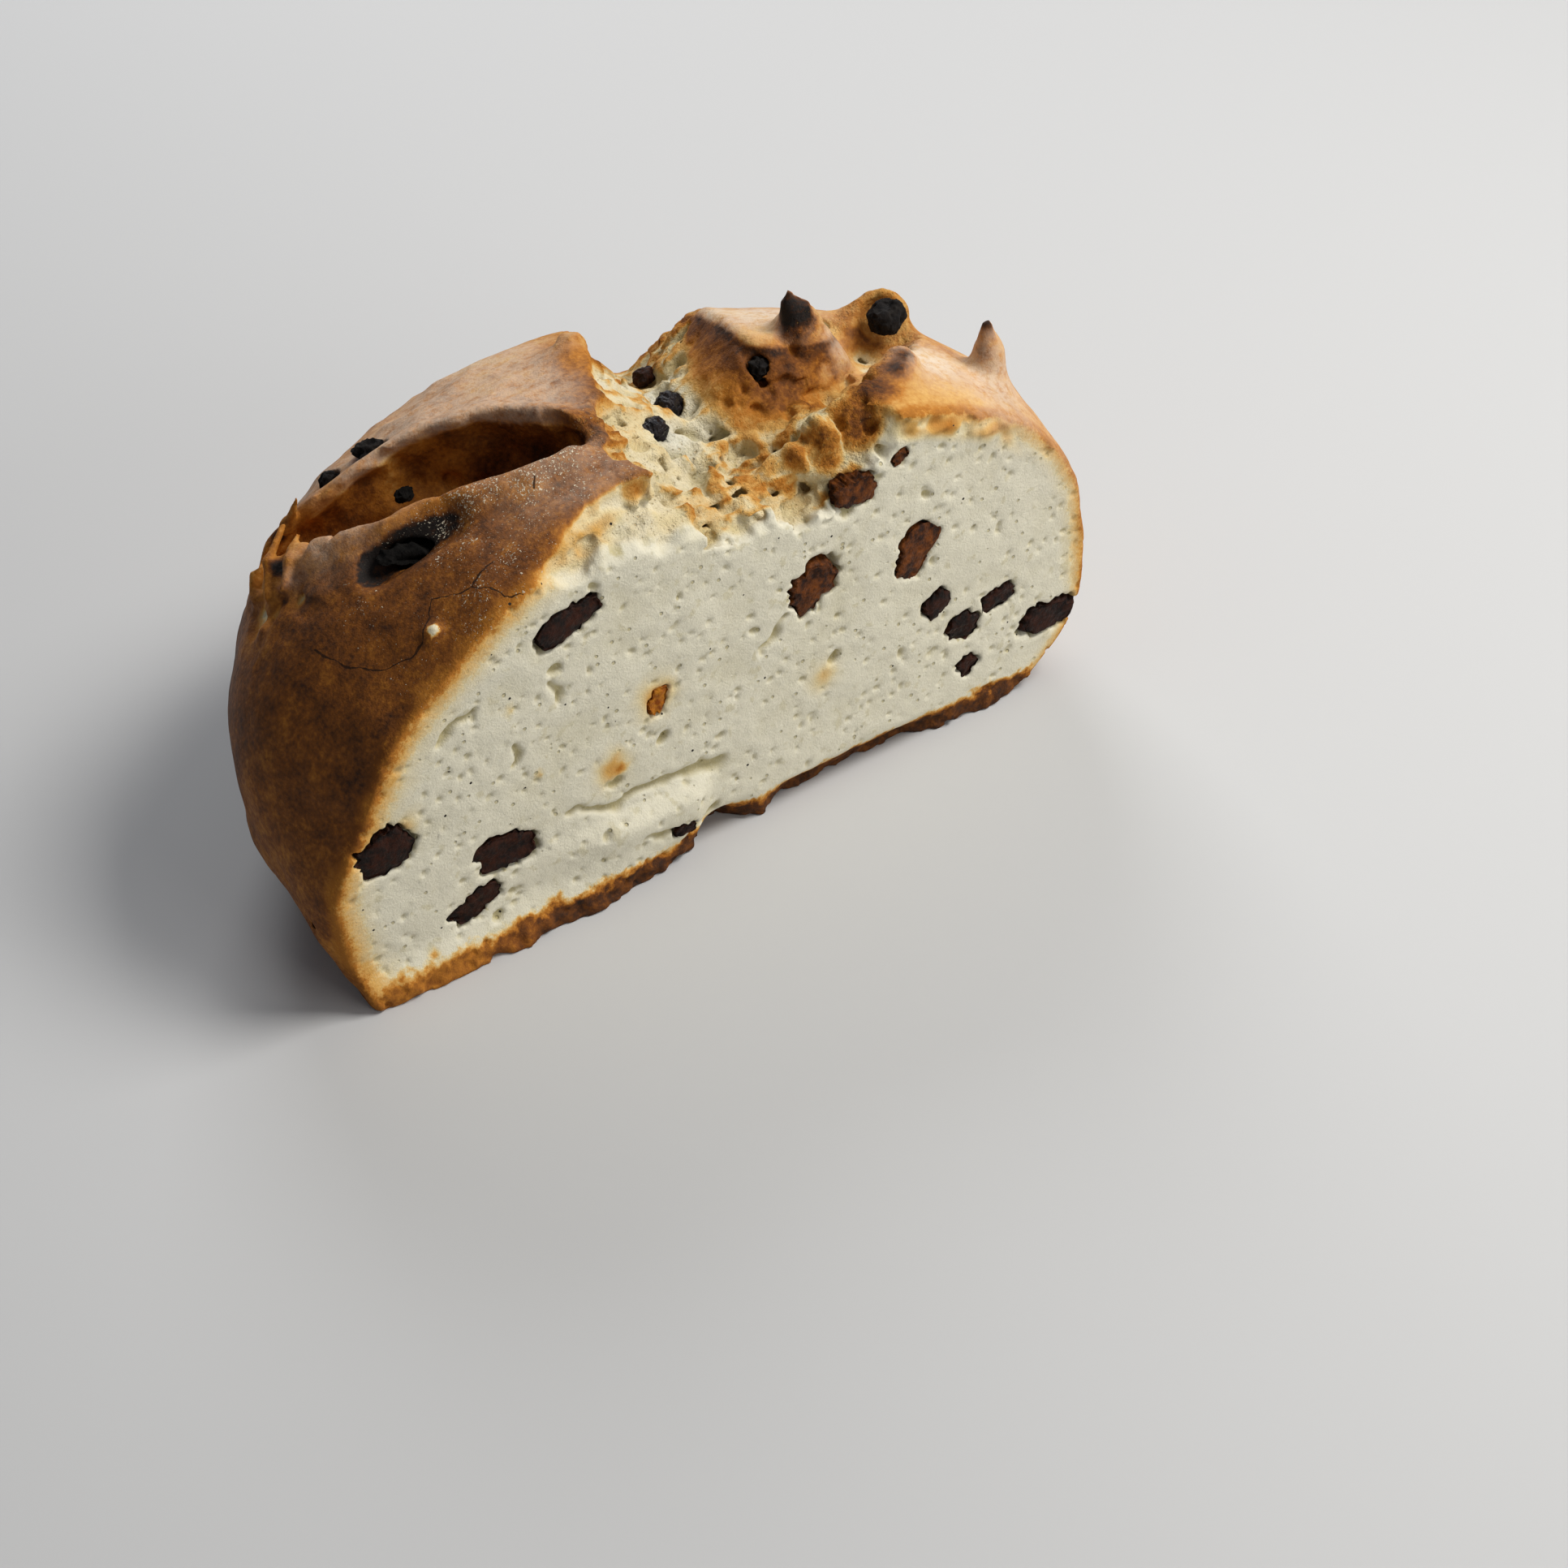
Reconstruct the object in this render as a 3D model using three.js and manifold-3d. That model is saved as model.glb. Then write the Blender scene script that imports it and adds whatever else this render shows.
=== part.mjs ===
// A cut round raisin bread loaf: the larger piece left after slices were taken from its front.
// Millimetres, +Z up. The origin is on the flat base, under the middle of the whole loaf.
// +X runs along the cut face to the right, and the cut face looks towards -Y.

import * as THREE from "three";
import { mergeVertices } from "three/addons/utils/BufferGeometryUtils.js";
import Module from "manifold-3d";

// Driving dimensions of the whole loaf
const HALF_WIDTH = 86.5;
const HALF_DEPTH = 69;
const HEIGHT = 85;
const BULGE_HEIGHT = 22;
const PLAN_POWER = 2.2;
const CROWN_POWER = 2.5;
const LEFT_TUCK = 0.05;
const BACK_LEFT_TUCK = 0.2;
const RIGHT_TUCK = 0.19;
const FLANK_TRIM = 2.4;
const SHOULDER_TRIM = 4.4;
const CUT_Y = -19;
const POCKET_GAP = 0.35;

// The crosswise gash between the front left and back left lobes, as plan points with half widths
const GASH = [
  { x: -18.5, y: 4, half: 3.6 },
  { x: -23.5, y: 7.2, half: 7.2 },
  { x: -29.5, y: 12, half: 9.2 },
  { x: -39, y: 17, half: 9.6 },
  { x: -46.8, y: 19.5, half: 8.8 },
  { x: -53, y: 23.5, half: 6.8 },
  { x: -58, y: 28, half: 4.8 },
  { x: -62, y: 32, half: 2.4 },
];
const GASH_CENTRE_DEPTH = 8;
const GASH_UNDERCUT = 2;
const LIP_RADIUS = 3;

// The open tear down the middle: the plan outline of the region without crust
const TEAR_OUTLINE = [
  [-47, -26], [-41, -17.5], [-32, -14.5], [-24, -11.5], [-17, -10.5], [-11.5, -11.5],
  [-13, -7], [-16, -3], [-17, 2], [-15, 7], [-9, 12], [-2.5, 19.5],
  [2.5, 31], [8, 46], [18, 66], [48, 66], [41, 48], [34, 37], [31, 30],
  [30, 22], [28, 15], [32, 11.5], [38, 9], [46, 14], [56, 17],
  [58, 11], [53, 5], [46, -3], [38, -10], [36, -15], [38, -26],
];

// The floor and banks of that tear, from the cut face to the back
const TEAR_STATIONS = [
  { y: -19, left: 19, right: 28.5, floor: 65, leftSlope: 0.18, rightSlope: 1.3 },
  { y: -8, left: 14, right: 20, floor: 66.5, leftSlope: 0.4, rightSlope: 1.1 },
  { y: 4, left: 11, right: 16, floor: 68.5, leftSlope: 0.65, rightSlope: 1.0 },
  { y: 14, left: 11, right: 14, floor: 68.5, leftSlope: 0.88, rightSlope: 0.95 },
  { y: 24, left: 12, right: 15, floor: 66.5, leftSlope: 1.02, rightSlope: 0.86 },
  { y: 38, left: 16, right: 18, floor: 61, leftSlope: 1.1, rightSlope: 0.74 },
  { y: 52, left: 23, right: 26, floor: 52, leftSlope: 1.1, rightSlope: 0.74 },
  { y: 64, left: 30, right: 33, floor: 40, leftSlope: 1.1, rightSlope: 0.8 },
];

// The side branch of the tear, which runs out between the two right lobes
const BRANCH = [
  { x: 20, y: 3, z: 79, r: 8 },
  { x: 31, y: 0, z: 81, r: 8 },
  { x: 41, y: 4, z: 80.5, r: 8 },
  { x: 50, y: 9, z: 78, r: 7.5 },
  { x: 57, y: 12, z: 74.5, r: 6 },
];

// Raised crust, as rods that taper from a wide foot to a thin tip
const PEAKS = {
  backConeFoot: { from: [37.8, 12.5, 73], to: [37.8, 13.3, 80], wide: 8.5, thin: 4.4 },
  backCone: { from: [37.8, 13.3, 80], to: [36.8, 13.8, 85], wide: 4.4, thin: 1.5 },
  rightSpikeRoot: { from: [67, -5, 60], to: [68.3, -4.3, 71.5], wide: 7, thin: 2.6 },
  rightSpike: { from: [68.3, -4.3, 71.5], to: [68, -4, 77.2], wide: 2.2, thin: 1.4 },
  frontRightPeak: { from: [45.5, -7, 71], to: [47.8, -4.6, 77.4], wide: 8.5, thin: 3 },
  frontRightShoulder: { from: [39.5, -11, 68], to: [44, -7.2, 76.6], wide: 5.2, thin: 3.8 },
  backRightEar: { from: [57, 15, 62], to: [58.5, 15.5, 72.5], wide: 10, thin: 5.2 },
  earFlap: { from: [51.5, 16.5, 71], to: [58.2, 15.4, 77.6], wide: 4.5, thin: 1.6 },
  backLeftCorner: { from: [-6, 26, 75], to: [-0.5, 31, 81.5], wide: 7, thin: 2.5 },
  middleCrag: { from: [26, -9.5, 69], to: [25.5, -10.3, 75], wide: 5.4, thin: 3.5 },
  leftCrag: { from: [13, -8.5, 68], to: [20, -10, 71.5], wide: 2.4, thin: 3.2 },
  rightCrag: { from: [31.5, -10, 71], to: [32.3, -11, 75.2], wide: 3.8, thin: 2 },
  knobByCutEdge: { from: [-8, -14.5, 68], to: [-8.5, -15, 71.2], wide: 3, thin: 1.9 },
};

// Hollows sunk into the crust, as rods taken away, and a shallow dip in the back right crest
const PITS = {
  burntPit: { from: [-56.5, 5.8, 73.6], to: [-44.5, 2.2, 79.8], wide: 4, thin: 3.8 },
  branchRecess: { from: [34.2, 0.2, 74.4], to: [39, 3.2, 75.6], wide: 3.4, thin: 3 },
  branchHollow: { from: [50.2, 7.2, 73.4], to: [52, 8.8, 73], wide: 3, thin: 3 },
  earPocket: { from: [53, 7.5, 76.5], to: [56.5, 11.5, 75], wide: 4.8, thin: 4.8 },
};
const CREST_DIP = { x: 33, y: 31, reach: 14, depth: 2.2 };

// Relief of the cut face, measured forward of the cut plane
const SKIRT_REACH = 3;
const SKIRT_HEIGHT = 10;
const FLAP_REACH = 2.6;
const FLAP_HEIGHT = 14;
const NOTCH_DEPTH = 6.5;
const NOTCH_X = -3;
const LIFT_DEPTH = 3.2;

// Raisins that the knife left in the cut face: centre, half lengths and tilt in that plane
const FACE_RAISINS = [
  { x: -72.5, z: 33.9, long: 5.2, short: 4.6, tilt: 14 },
  { x: -48.5, z: 21.0, long: 6.3, short: 4.0, tilt: -8 },
  { x: -56.6, z: 12.2, long: 5.4, short: 2.5, tilt: 25 },
  { x: -33.0, z: 65.9, long: 6.5, short: 3.0, tilt: 21 },
  { x: 17.2, z: 49.2, long: 6.4, short: 4.8, tilt: 40 },
  { x: 40.7, z: 46.3, long: 5.8, short: 4.2, tilt: 72 },
  { x: 46.4, z: 31.8, long: 3.2, short: 2.7, tilt: 27 },
  { x: 53.5, z: 23.3, long: 3.7, short: 3.2, tilt: -6 },
  { x: 62.0, z: 26.4, long: 3.8, short: 2.5, tilt: 6 },
  { x: 74.8, z: 15.4, long: 7.4, short: 3.3, tilt: -7 },
  { x: 54.8, z: 13.4, long: 2.4, short: 2.1, tilt: 34 },
  { x: 36.8, z: 70.0, long: 1.7, short: 1.5, tilt: 36 },
  { x: -16.5, z: 39.4, long: 3.0, short: 1.8, tilt: 78 },
  { x: -12.3, z: 7.7, long: 3.2, short: 1.4, tilt: -6 },
];

// Raisins held in the torn top and the crust: centre, half lengths and turn about Z
const TOP_RAISINS = [
  { at: [26.8, -16.6, 66.4], half: [4.4, 3.0, 3.0], turn: -4 },
  { at: [12.8, 19.5, 69.2], half: [3.4, 3.0, 2.6], turn: 60 },
  { at: [2.8, 9.6, 73.2], half: [3.4, 2.6, 2.4], turn: 20 },
  { at: [18.6, 36, 63.9], half: [2.4, 2.0, 2.0], turn: 0 },
  { at: [27, 10.6, 76.6], half: [2.8, 2.6, 3.0], turn: 40 },
  { at: [56.2, 11, 76.2], half: [4.4, 3.6, 3.4], turn: 30 },
  { at: [-49.1, 5.3, 72.4], half: [7.6, 4.0, 2.6], turn: -18 },
  { at: [-40.6, 34.5, 72.8], half: [4.6, 3.6, 3.4], turn: 30 },
  { at: [-47.0, 38.6, 66.6], half: [2.8, 2.6, 2.8], turn: 0 },
  { at: [-39.4, 25.4, 68.4], half: [2.6, 1.8, 1.8], turn: 20 },
  { at: [-82.5, -11.2, 17.2], half: [1.8, 2.0, 2.2], turn: 0 },
];
const FACE_RAISIN_DEPTH = 3.6;
const FACE_RAISIN_PROUD = 1.1;

// Surface grid steps, and the triangles kept of the whole loaf before it is cut
const FINE_STEP = 2.2;
const COARSE_STEP = 4.4;
const FACE_STEP = 6;
const LOAF_TRIANGLES = 10400;

function clamp(value, low, high) {
  return Math.min(high, Math.max(low, value));
}

function ramp(low, high, value) {
  const t = clamp((value - low) / (high - low), 0, 1);
  return t * t * (3 - 2 * t);
}

function softMin(a, b, reach) {
  const h = Math.max(reach - Math.abs(a - b), 0) / reach;
  return Math.min(a, b) - h * h * reach * 0.25;
}

function softMax(a, b, reach) {
  return -softMin(-a, -b, reach);
}

// Smooth seeded noise between -1 and 1, one lump for each unit of length
function latticeValue(ix, iy, iz, seed) {
  let h = Math.imul(ix, 374761393) + Math.imul(iy, 668265263) + Math.imul(iz, 1440662683);
  h = (h + Math.imul(seed, 1013904223)) | 0;
  h = Math.imul(h ^ (h >>> 13), 1274126177);
  h ^= h >>> 16;
  return ((h >>> 0) / 4294967295) * 2 - 1;
}

function noise(x, y, z, seed) {
  const ix = Math.floor(x);
  const iy = Math.floor(y);
  const iz = Math.floor(z);
  const blend = (t) => t * t * t * (t * (t * 6 - 15) + 10);
  const u = blend(x - ix);
  const v = blend(y - iy);
  const w = blend(z - iz);
  let sum = 0;
  for (let corner = 0; corner < 8; corner += 1) {
    const cx = corner & 1;
    const cy = (corner >> 1) & 1;
    const cz = corner >> 2;
    const weight = (cx ? u : 1 - u) * (cy ? v : 1 - v) * (cz ? w : 1 - w);
    sum += weight * latticeValue(ix + cx, iy + cy, iz + cz, seed);
  }
  return sum;
}

// Height of the uncut crown over a plan point
function crownHeight(x, y) {
  const reach = Math.hypot(x / HALF_WIDTH, y / HALF_DEPTH);
  if (reach >= 1) return BULGE_HEIGHT;
  return BULGE_HEIGHT + (HEIGHT - BULGE_HEIGHT) * (1 - reach ** PLAN_POWER) ** (1 / CROWN_POWER);
}

// Signed distance, roughly, to the whole loaf: negative inside
function bodyDistance(x, y, z) {
  const reach = Math.hypot(x / HALF_WIDTH, y / HALF_DEPTH);
  const rise = z - BULGE_HEIGHT;
  const nearCut = ramp(-30, -58, x) * ramp(CUT_Y + 27, CUT_Y + 2, y);
  const shoulder = SHOULDER_TRIM * nearCut * ramp(24, 42, z) * ramp(84, 62, z);
  const flank = FLANK_TRIM * ramp(-40, -70, x) * ramp(CUT_Y, CUT_Y + 20, y) * ramp(44, 18, z) + shoulder;
  if (rise > 0) {
    const power = (PLAN_POWER + CROWN_POWER) / 2;
    const height = rise / (HEIGHT - BULGE_HEIGHT);
    const level = (reach ** PLAN_POWER + height ** CROWN_POWER) ** (1 / power);
    const span = Math.hypot(x, y, rise);
    return level < 1e-6 ? -HALF_DEPTH : span * (1 - 1 / level) + flank;
  }
  const drop = clamp(-rise / BULGE_HEIGHT, 0, 1.3);
  const side = ramp(-60, 60, x);
  const left = LEFT_TUCK + (BACK_LEFT_TUCK - LEFT_TUCK) * ramp(CUT_Y, CUT_Y + 25, y);
  const tuck = left + (RIGHT_TUCK - left) * side;
  const scale = Math.hypot(x, y) / Math.max(reach, 1e-6);
  return (reach - (1 - tuck * drop ** 2.2)) * scale + flank;
}

// Distance to a chain of tapered rods
function rodDistance(px, py, pz, a, b, ra, rb) {
  const dx = b[0] - a[0];
  const dy = b[1] - a[1];
  const dz = b[2] - a[2];
  const along = (px - a[0]) * dx + (py - a[1]) * dy + (pz - a[2]) * dz;
  const t = clamp(along / (dx * dx + dy * dy + dz * dz), 0, 1);
  const radius = ra + (rb - ra) * t;
  return Math.hypot(px - a[0] - dx * t, py - a[1] - dy * t, pz - a[2] - dz * t) - radius;
}

function chainDistance(x, y, z, chain, reach) {
  let nearest = Infinity;
  for (let i = 0; i + 1 < chain.length; i += 1) {
    const a = chain[i];
    const b = chain[i + 1];
    const d = rodDistance(x, y, z, [a.x, a.y, a.z], [b.x, b.y, b.z], a.r, b.r);
    nearest = reach > 0 && nearest < Infinity ? softMin(nearest, d, reach) : Math.min(nearest, d);
  }
  return nearest;
}

// Plan direction across the gash at each of its points, towards the back lobe
function acrossGash(index) {
  const before = GASH[Math.max(index - 1, 0)];
  const after = GASH[Math.min(index + 1, GASH.length - 1)];
  const length = Math.hypot(after.x - before.x, after.y - before.y);
  return { x: (after.y - before.y) / length, y: -(after.x - before.x) / length };
}

// A chain beside or under the gash: side -1 is the front lip, +1 the back lip
function gashChain(side, shift, depth, radius) {
  return GASH.map((point, index) => {
    const across = acrossGash(index);
    const offset = side * point.half + shift;
    const x = point.x + across.x * offset;
    const y = point.y + across.y * offset;
    return { x, y, z: crownHeight(x, y) - depth(point), r: radius(point) };
  });
}

const hollowChain = gashChain(
  0,
  GASH_UNDERCUT,
  (point) => Math.min(GASH_CENTRE_DEPTH, point.half + 1),
  (point) => point.half * 1.05,
);
const mouthChain = gashChain(0, 0, () => -3, (point) => point.half * 0.98);
const frontLip = gashChain(-1, -1.5, () => 1.4, () => LIP_RADIUS);
const backLip = gashChain(1, 1.5, () => 1.4, () => LIP_RADIUS);

// Signed plan distance to the edge of the tear: negative inside it
function tearDistance(x, y) {
  let nearest = Infinity;
  let inside = false;
  for (let i = 0, j = TEAR_OUTLINE.length - 1; i < TEAR_OUTLINE.length; j = i, i += 1) {
    const [ax, ay] = TEAR_OUTLINE[i];
    const [bx, by] = TEAR_OUTLINE[j];
    const ex = bx - ax;
    const ey = by - ay;
    const t = clamp(((x - ax) * ex + (y - ay) * ey) / (ex * ex + ey * ey), 0, 1);
    nearest = Math.min(nearest, Math.hypot(x - ax - ex * t, y - ay - ey * t));
    if (ay > y !== by > y && x < ((bx - ax) * (y - ay)) / (by - ay) + ax) inside = !inside;
  }
  return inside ? -nearest : nearest;
}

function tearStation(y) {
  const last = TEAR_STATIONS.length - 1;
  let index = 0;
  while (index < last - 1 && y > TEAR_STATIONS[index + 1].y) index += 1;
  const a = TEAR_STATIONS[index];
  const b = TEAR_STATIONS[index + 1];
  const t = clamp((y - a.y) / (b.y - a.y), 0, 1);
  const mix = (key) => a[key] + (b[key] - a[key]) * t;
  return {
    left: mix("left"),
    right: mix("right"),
    floor: mix("floor"),
    leftSlope: mix("leftSlope"),
    rightSlope: mix("rightSlope"),
  };
}

function tearFloor(x, y) {
  const at = tearStation(y);
  const leftRise = softMax(0, at.left - x, 4) * at.leftSlope;
  const rightRise = softMax(0, x - at.right, 3) * at.rightSlope;
  return at.floor + leftRise + rightRise;
}

function planAt(x, y) {
  return { tear: tearDistance(x, y), floor: tearFloor(x, y) };
}

// The loaf's own field: negative in bread
function loafField(x, y, z, plan) {
  const swell = 1.3 * noise(x / 34, y / 34, z / 34, 11) + 0.7 * noise(x / 15, y / 15, z / 15, 12);
  let field = bodyDistance(x, y, z) - swell;
  if (z < 45) return field;
  const fromDip = Math.hypot(x - CREST_DIP.x, y - CREST_DIP.y) / CREST_DIP.reach;
  field += CREST_DIP.depth * Math.exp(-fromDip * fromDip);

  field = softMin(field, chainDistance(x, y, z, frontLip, 0), 4);
  field = softMin(field, chainDistance(x, y, z, backLip, 0), 4);

  const ragged = 1.5 * noise(x / 8, y / 8, z / 8, 21) + 0.9 * noise(x / 4.5, y / 4.5, z / 4.5, 22);
  const aboveFloor = (plan.floor - z) * 0.8;
  const smoothWall = ramp(12, 17, x) * ramp(-5, 3, y) * ramp(68, 71, z);
  const torn = ragged * ramp(3, -4, plan.tear) * (1 - 0.8 * smoothWall);
  const tear = softMax(aboveFloor, plan.tear * 0.9, 2.5) + torn;
  field = softMax(field, -tear, 2.5);

  field = softMax(field, -chainDistance(x, y, z, BRANCH, 0) - ragged * 0.7, 4);
  const hollow = chainDistance(x, y, z, hollowChain, 2);
  const mouth = chainDistance(x, y, z, mouthChain, 2);
  field = softMax(field, -softMin(hollow, mouth, 4), 2);

  for (const peak of Object.values(PEAKS)) {
    const d = rodDistance(x, y, z, peak.from, peak.to, peak.wide, peak.thin);
    if (d < 12) field = softMin(field, d + 0.5 * ragged, 3.5);
  }
  for (const pit of Object.values(PITS)) {
    field = softMax(field, -rodDistance(x, y, z, pit.from, pit.to, pit.wide, pit.thin), 2.5);
  }
  return field;
}

function gridLines(low, high, fineLow, fineHigh) {
  const lines = [low];
  while (lines[lines.length - 1] < high) {
    const at = lines[lines.length - 1];
    lines.push(at + (at >= fineLow && at < fineHigh ? FINE_STEP : COARSE_STEP));
  }
  return lines;
}

// Fills one corner wherever a cell face has its inside corners only diagonally across
function fillPinches(values, size) {
  const [nx, ny, nz] = size;
  const strides = [1, nx, nx * ny];
  const facePlanes = [[0, 1], [0, 2], [1, 2]];
  let changed = true;
  while (changed) {
    changed = false;
    for (let start = 0; start < values.length; start += 1) {
      const place = [start % nx, Math.floor(start / nx) % ny, Math.floor(start / (nx * ny))];
      for (const [u, v] of facePlanes) {
        if (place[u] + 1 >= size[u] || place[v] + 1 >= size[v]) continue;
        const acrossU = start + strides[u];
        const acrossV = start + strides[v];
        const face = [start, acrossU, acrossU + strides[v], acrossV];
        const inside = face.map((index) => values[index] < 0);
        if (inside[0] !== inside[2] || inside[1] !== inside[3] || inside[0] === inside[1]) continue;
        const open = inside[0] ? [face[1], face[3]] : [face[0], face[2]];
        const pick = values[open[0]] < values[open[1]] ? open[0] : open[1];
        values[pick] = -0.05;
        changed = true;
      }
    }
  }
}

// A closed mesh round the inside of a field, one vertex for each grid cell that it crosses
function meshField(xs, ys, zs, values) {
  const nx = xs.length;
  const ny = ys.length;
  const nz = zs.length;
  const at = (i, j, k) => (k * ny + j) * nx + i;
  const cellVertex = new Int32Array(nx * ny * nz).fill(-1);
  const positions = [];
  const triangles = [];
  const cornerSteps = [];
  for (let corner = 0; corner < 8; corner += 1) {
    cornerSteps.push([corner & 1, (corner >> 1) & 1, corner >> 2]);
  }
  const edges = [];
  for (let a = 0; a < 8; a += 1) {
    for (const bit of [1, 2, 4]) if (!(a & bit)) edges.push([a, a | bit]);
  }
  for (let k = 0; k + 1 < nz; k += 1) {
    for (let j = 0; j + 1 < ny; j += 1) {
      for (let i = 0; i + 1 < nx; i += 1) {
        const corner = cornerSteps.map(([a, b, c]) => values[at(i + a, j + b, k + c)]);
        let count = 0;
        const sum = [0, 0, 0];
        for (const [a, b] of edges) {
          if (corner[a] < 0 === corner[b] < 0) continue;
          const t = corner[a] / (corner[a] - corner[b]);
          const from = cornerSteps[a];
          const to = cornerSteps[b];
          sum[0] += xs[i + from[0]] + (xs[i + to[0]] - xs[i + from[0]]) * t;
          sum[1] += ys[j + from[1]] + (ys[j + to[1]] - ys[j + from[1]]) * t;
          sum[2] += zs[k + from[2]] + (zs[k + to[2]] - zs[k + from[2]]) * t;
          count += 1;
        }
        if (count === 0) continue;
        cellVertex[at(i, j, k)] = positions.length / 3;
        positions.push(sum[0] / count, sum[1] / count, sum[2] / count);
      }
    }
  }
  const quad = (a, b, c, d, flip) => {
    if (flip) triangles.push(a, c, b, a, d, c);
    else triangles.push(a, b, c, a, c, d);
  };
  for (let k = 0; k + 1 < nz; k += 1) {
    for (let j = 0; j + 1 < ny; j += 1) {
      for (let i = 0; i + 1 < nx; i += 1) {
        const here = values[at(i, j, k)] < 0;
        const cell = (a, b, c) => cellVertex[at(i - a, j - b, k - c)];
        const own = cell(0, 0, 0);
        if (here !== values[at(i + 1, j, k)] < 0) {
          quad(cell(0, 1, 1), cell(0, 0, 1), own, cell(0, 1, 0), !here);
        }
        if (here !== values[at(i, j + 1, k)] < 0) {
          quad(cell(1, 0, 1), cell(1, 0, 0), own, cell(0, 0, 1), !here);
        }
        if (here !== values[at(i, j, k + 1)] < 0) {
          quad(cell(1, 1, 0), cell(0, 1, 0), own, cell(1, 0, 0), !here);
        }
      }
    }
  }
  return { positions, triangles };
}

// Draws each vertex halfway to the middle of its neighbours, which evens out the grid's steps
function relax({ positions, triangles }, passes) {
  let current = positions.slice();
  for (let pass = 0; pass < passes; pass += 1) {
    const sums = new Float64Array(current.length);
    const counts = new Float64Array(current.length / 3);
    for (let t = 0; t < triangles.length; t += 1) {
      const from = triangles[t];
      const to = triangles[t % 3 === 2 ? t - 2 : t + 1];
      for (let axis = 0; axis < 3; axis += 1) sums[from * 3 + axis] += current[to * 3 + axis];
      counts[from] += 1;
    }
    current = current.map((value, index) => (value + sums[index] / counts[Math.floor(index / 3)]) / 2);
  }
  return { positions: current, triangles };
}

// Moves each vertex along the field's slope onto the surface, by a short step at most
function settle({ positions, triangles }) {
  const probe = 0.4;
  const longest = 1.2;
  const value = (x, y, z) => loafField(x, y, z, planAt(x, y));
  const settled = positions.slice();
  for (let v = 0; v < settled.length; v += 3) {
    for (let pass = 0; pass < 2; pass += 1) {
      const [x, y, z] = settled.slice(v, v + 3);
      const field = value(x, y, z);
      const slope = [
        (value(x + probe, y, z) - value(x - probe, y, z)) / (2 * probe),
        (value(x, y + probe, z) - value(x, y - probe, z)) / (2 * probe),
        (value(x, y, z + probe) - value(x, y, z - probe)) / (2 * probe),
      ];
      const steep = Math.max(slope[0] ** 2 + slope[1] ** 2 + slope[2] ** 2, 0.25);
      const step = clamp(-field / steep, -longest, longest) * 0.7;
      for (let axis = 0; axis < 3; axis += 1) settled[v + axis] += slope[axis] * step;
    }
  }
  return { positions: settled, triangles };
}

// Keeps the largest connected shell, so that no loose scrap or sealed bubble stays
function largestShell({ positions, triangles }) {
  const parent = Array.from({ length: positions.length / 3 }, (_, index) => index);
  const root = (index) => {
    let top = index;
    while (parent[top] !== top) top = parent[top];
    while (parent[index] !== top) [parent[index], index] = [top, parent[index]];
    return top;
  };
  for (let t = 0; t < triangles.length; t += 3) {
    parent[root(triangles[t])] = root(triangles[t + 1]);
    parent[root(triangles[t + 1])] = root(triangles[t + 2]);
  }
  const counts = new Map();
  for (let t = 0; t < triangles.length; t += 3) {
    const key = root(triangles[t]);
    counts.set(key, (counts.get(key) ?? 0) + 1);
  }
  const [main] = [...counts].sort((a, b) => b[1] - a[1])[0];
  const remap = new Map();
  const kept = { positions: [], triangles: [] };
  for (let t = 0; t < triangles.length; t += 3) {
    if (root(triangles[t]) !== main) continue;
    for (const vertex of triangles.slice(t, t + 3)) {
      if (!remap.has(vertex)) {
        remap.set(vertex, kept.positions.length / 3);
        kept.positions.push(...positions.slice(vertex * 3, vertex * 3 + 3));
      }
      kept.triangles.push(remap.get(vertex));
    }
  }
  return kept;
}

function triangleNormal(p, a, b, c) {
  const ux = p[b * 3] - p[a * 3];
  const uy = p[b * 3 + 1] - p[a * 3 + 1];
  const uz = p[b * 3 + 2] - p[a * 3 + 2];
  const vx = p[c * 3] - p[a * 3];
  const vy = p[c * 3 + 1] - p[a * 3 + 1];
  const vz = p[c * 3 + 2] - p[a * 3 + 2];
  return [uy * vz - uz * vy, uz * vx - ux * vz, ux * vy - uy * vx];
}

function dot(a, b) {
  return a[0] * b[0] + a[1] * b[1] + a[2] * b[2];
}

// Error of a point against a sum of squared plane distances, kept as ten coefficients
function planeError(q, x, y, z) {
  const squares = q[0] * x * x + q[4] * y * y + q[7] * z * z;
  const products = q[1] * x * y + q[2] * x * z + q[5] * y * z;
  const linear = q[3] * x + q[6] * y + q[8] * z;
  return squares + 2 * (products + linear) + q[9];
}

// The point of least error, or the middle of the edge where that point is badly placed
function bestPoint(q, a, b) {
  const middle = [(a[0] + b[0]) / 2, (a[1] + b[1]) / 2, (a[2] + b[2]) / 2];
  const solve = new THREE.Matrix3().set(q[0], q[1], q[2], q[1], q[4], q[5], q[2], q[5], q[7]);
  const scale = (q[0] + q[4] + q[7]) / 3;
  if (Math.abs(solve.determinant()) < 1e-3 * scale ** 3) return middle;
  const point = new THREE.Vector3(-q[3], -q[6], -q[8]).applyMatrix3(solve.invert());
  const away = Math.hypot(point.x - middle[0], point.y - middle[1], point.z - middle[2]);
  const span = Math.hypot(a[0] - b[0], a[1] - b[1], a[2] - b[2]);
  return away > span ? middle : [point.x, point.y, point.z];
}

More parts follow.
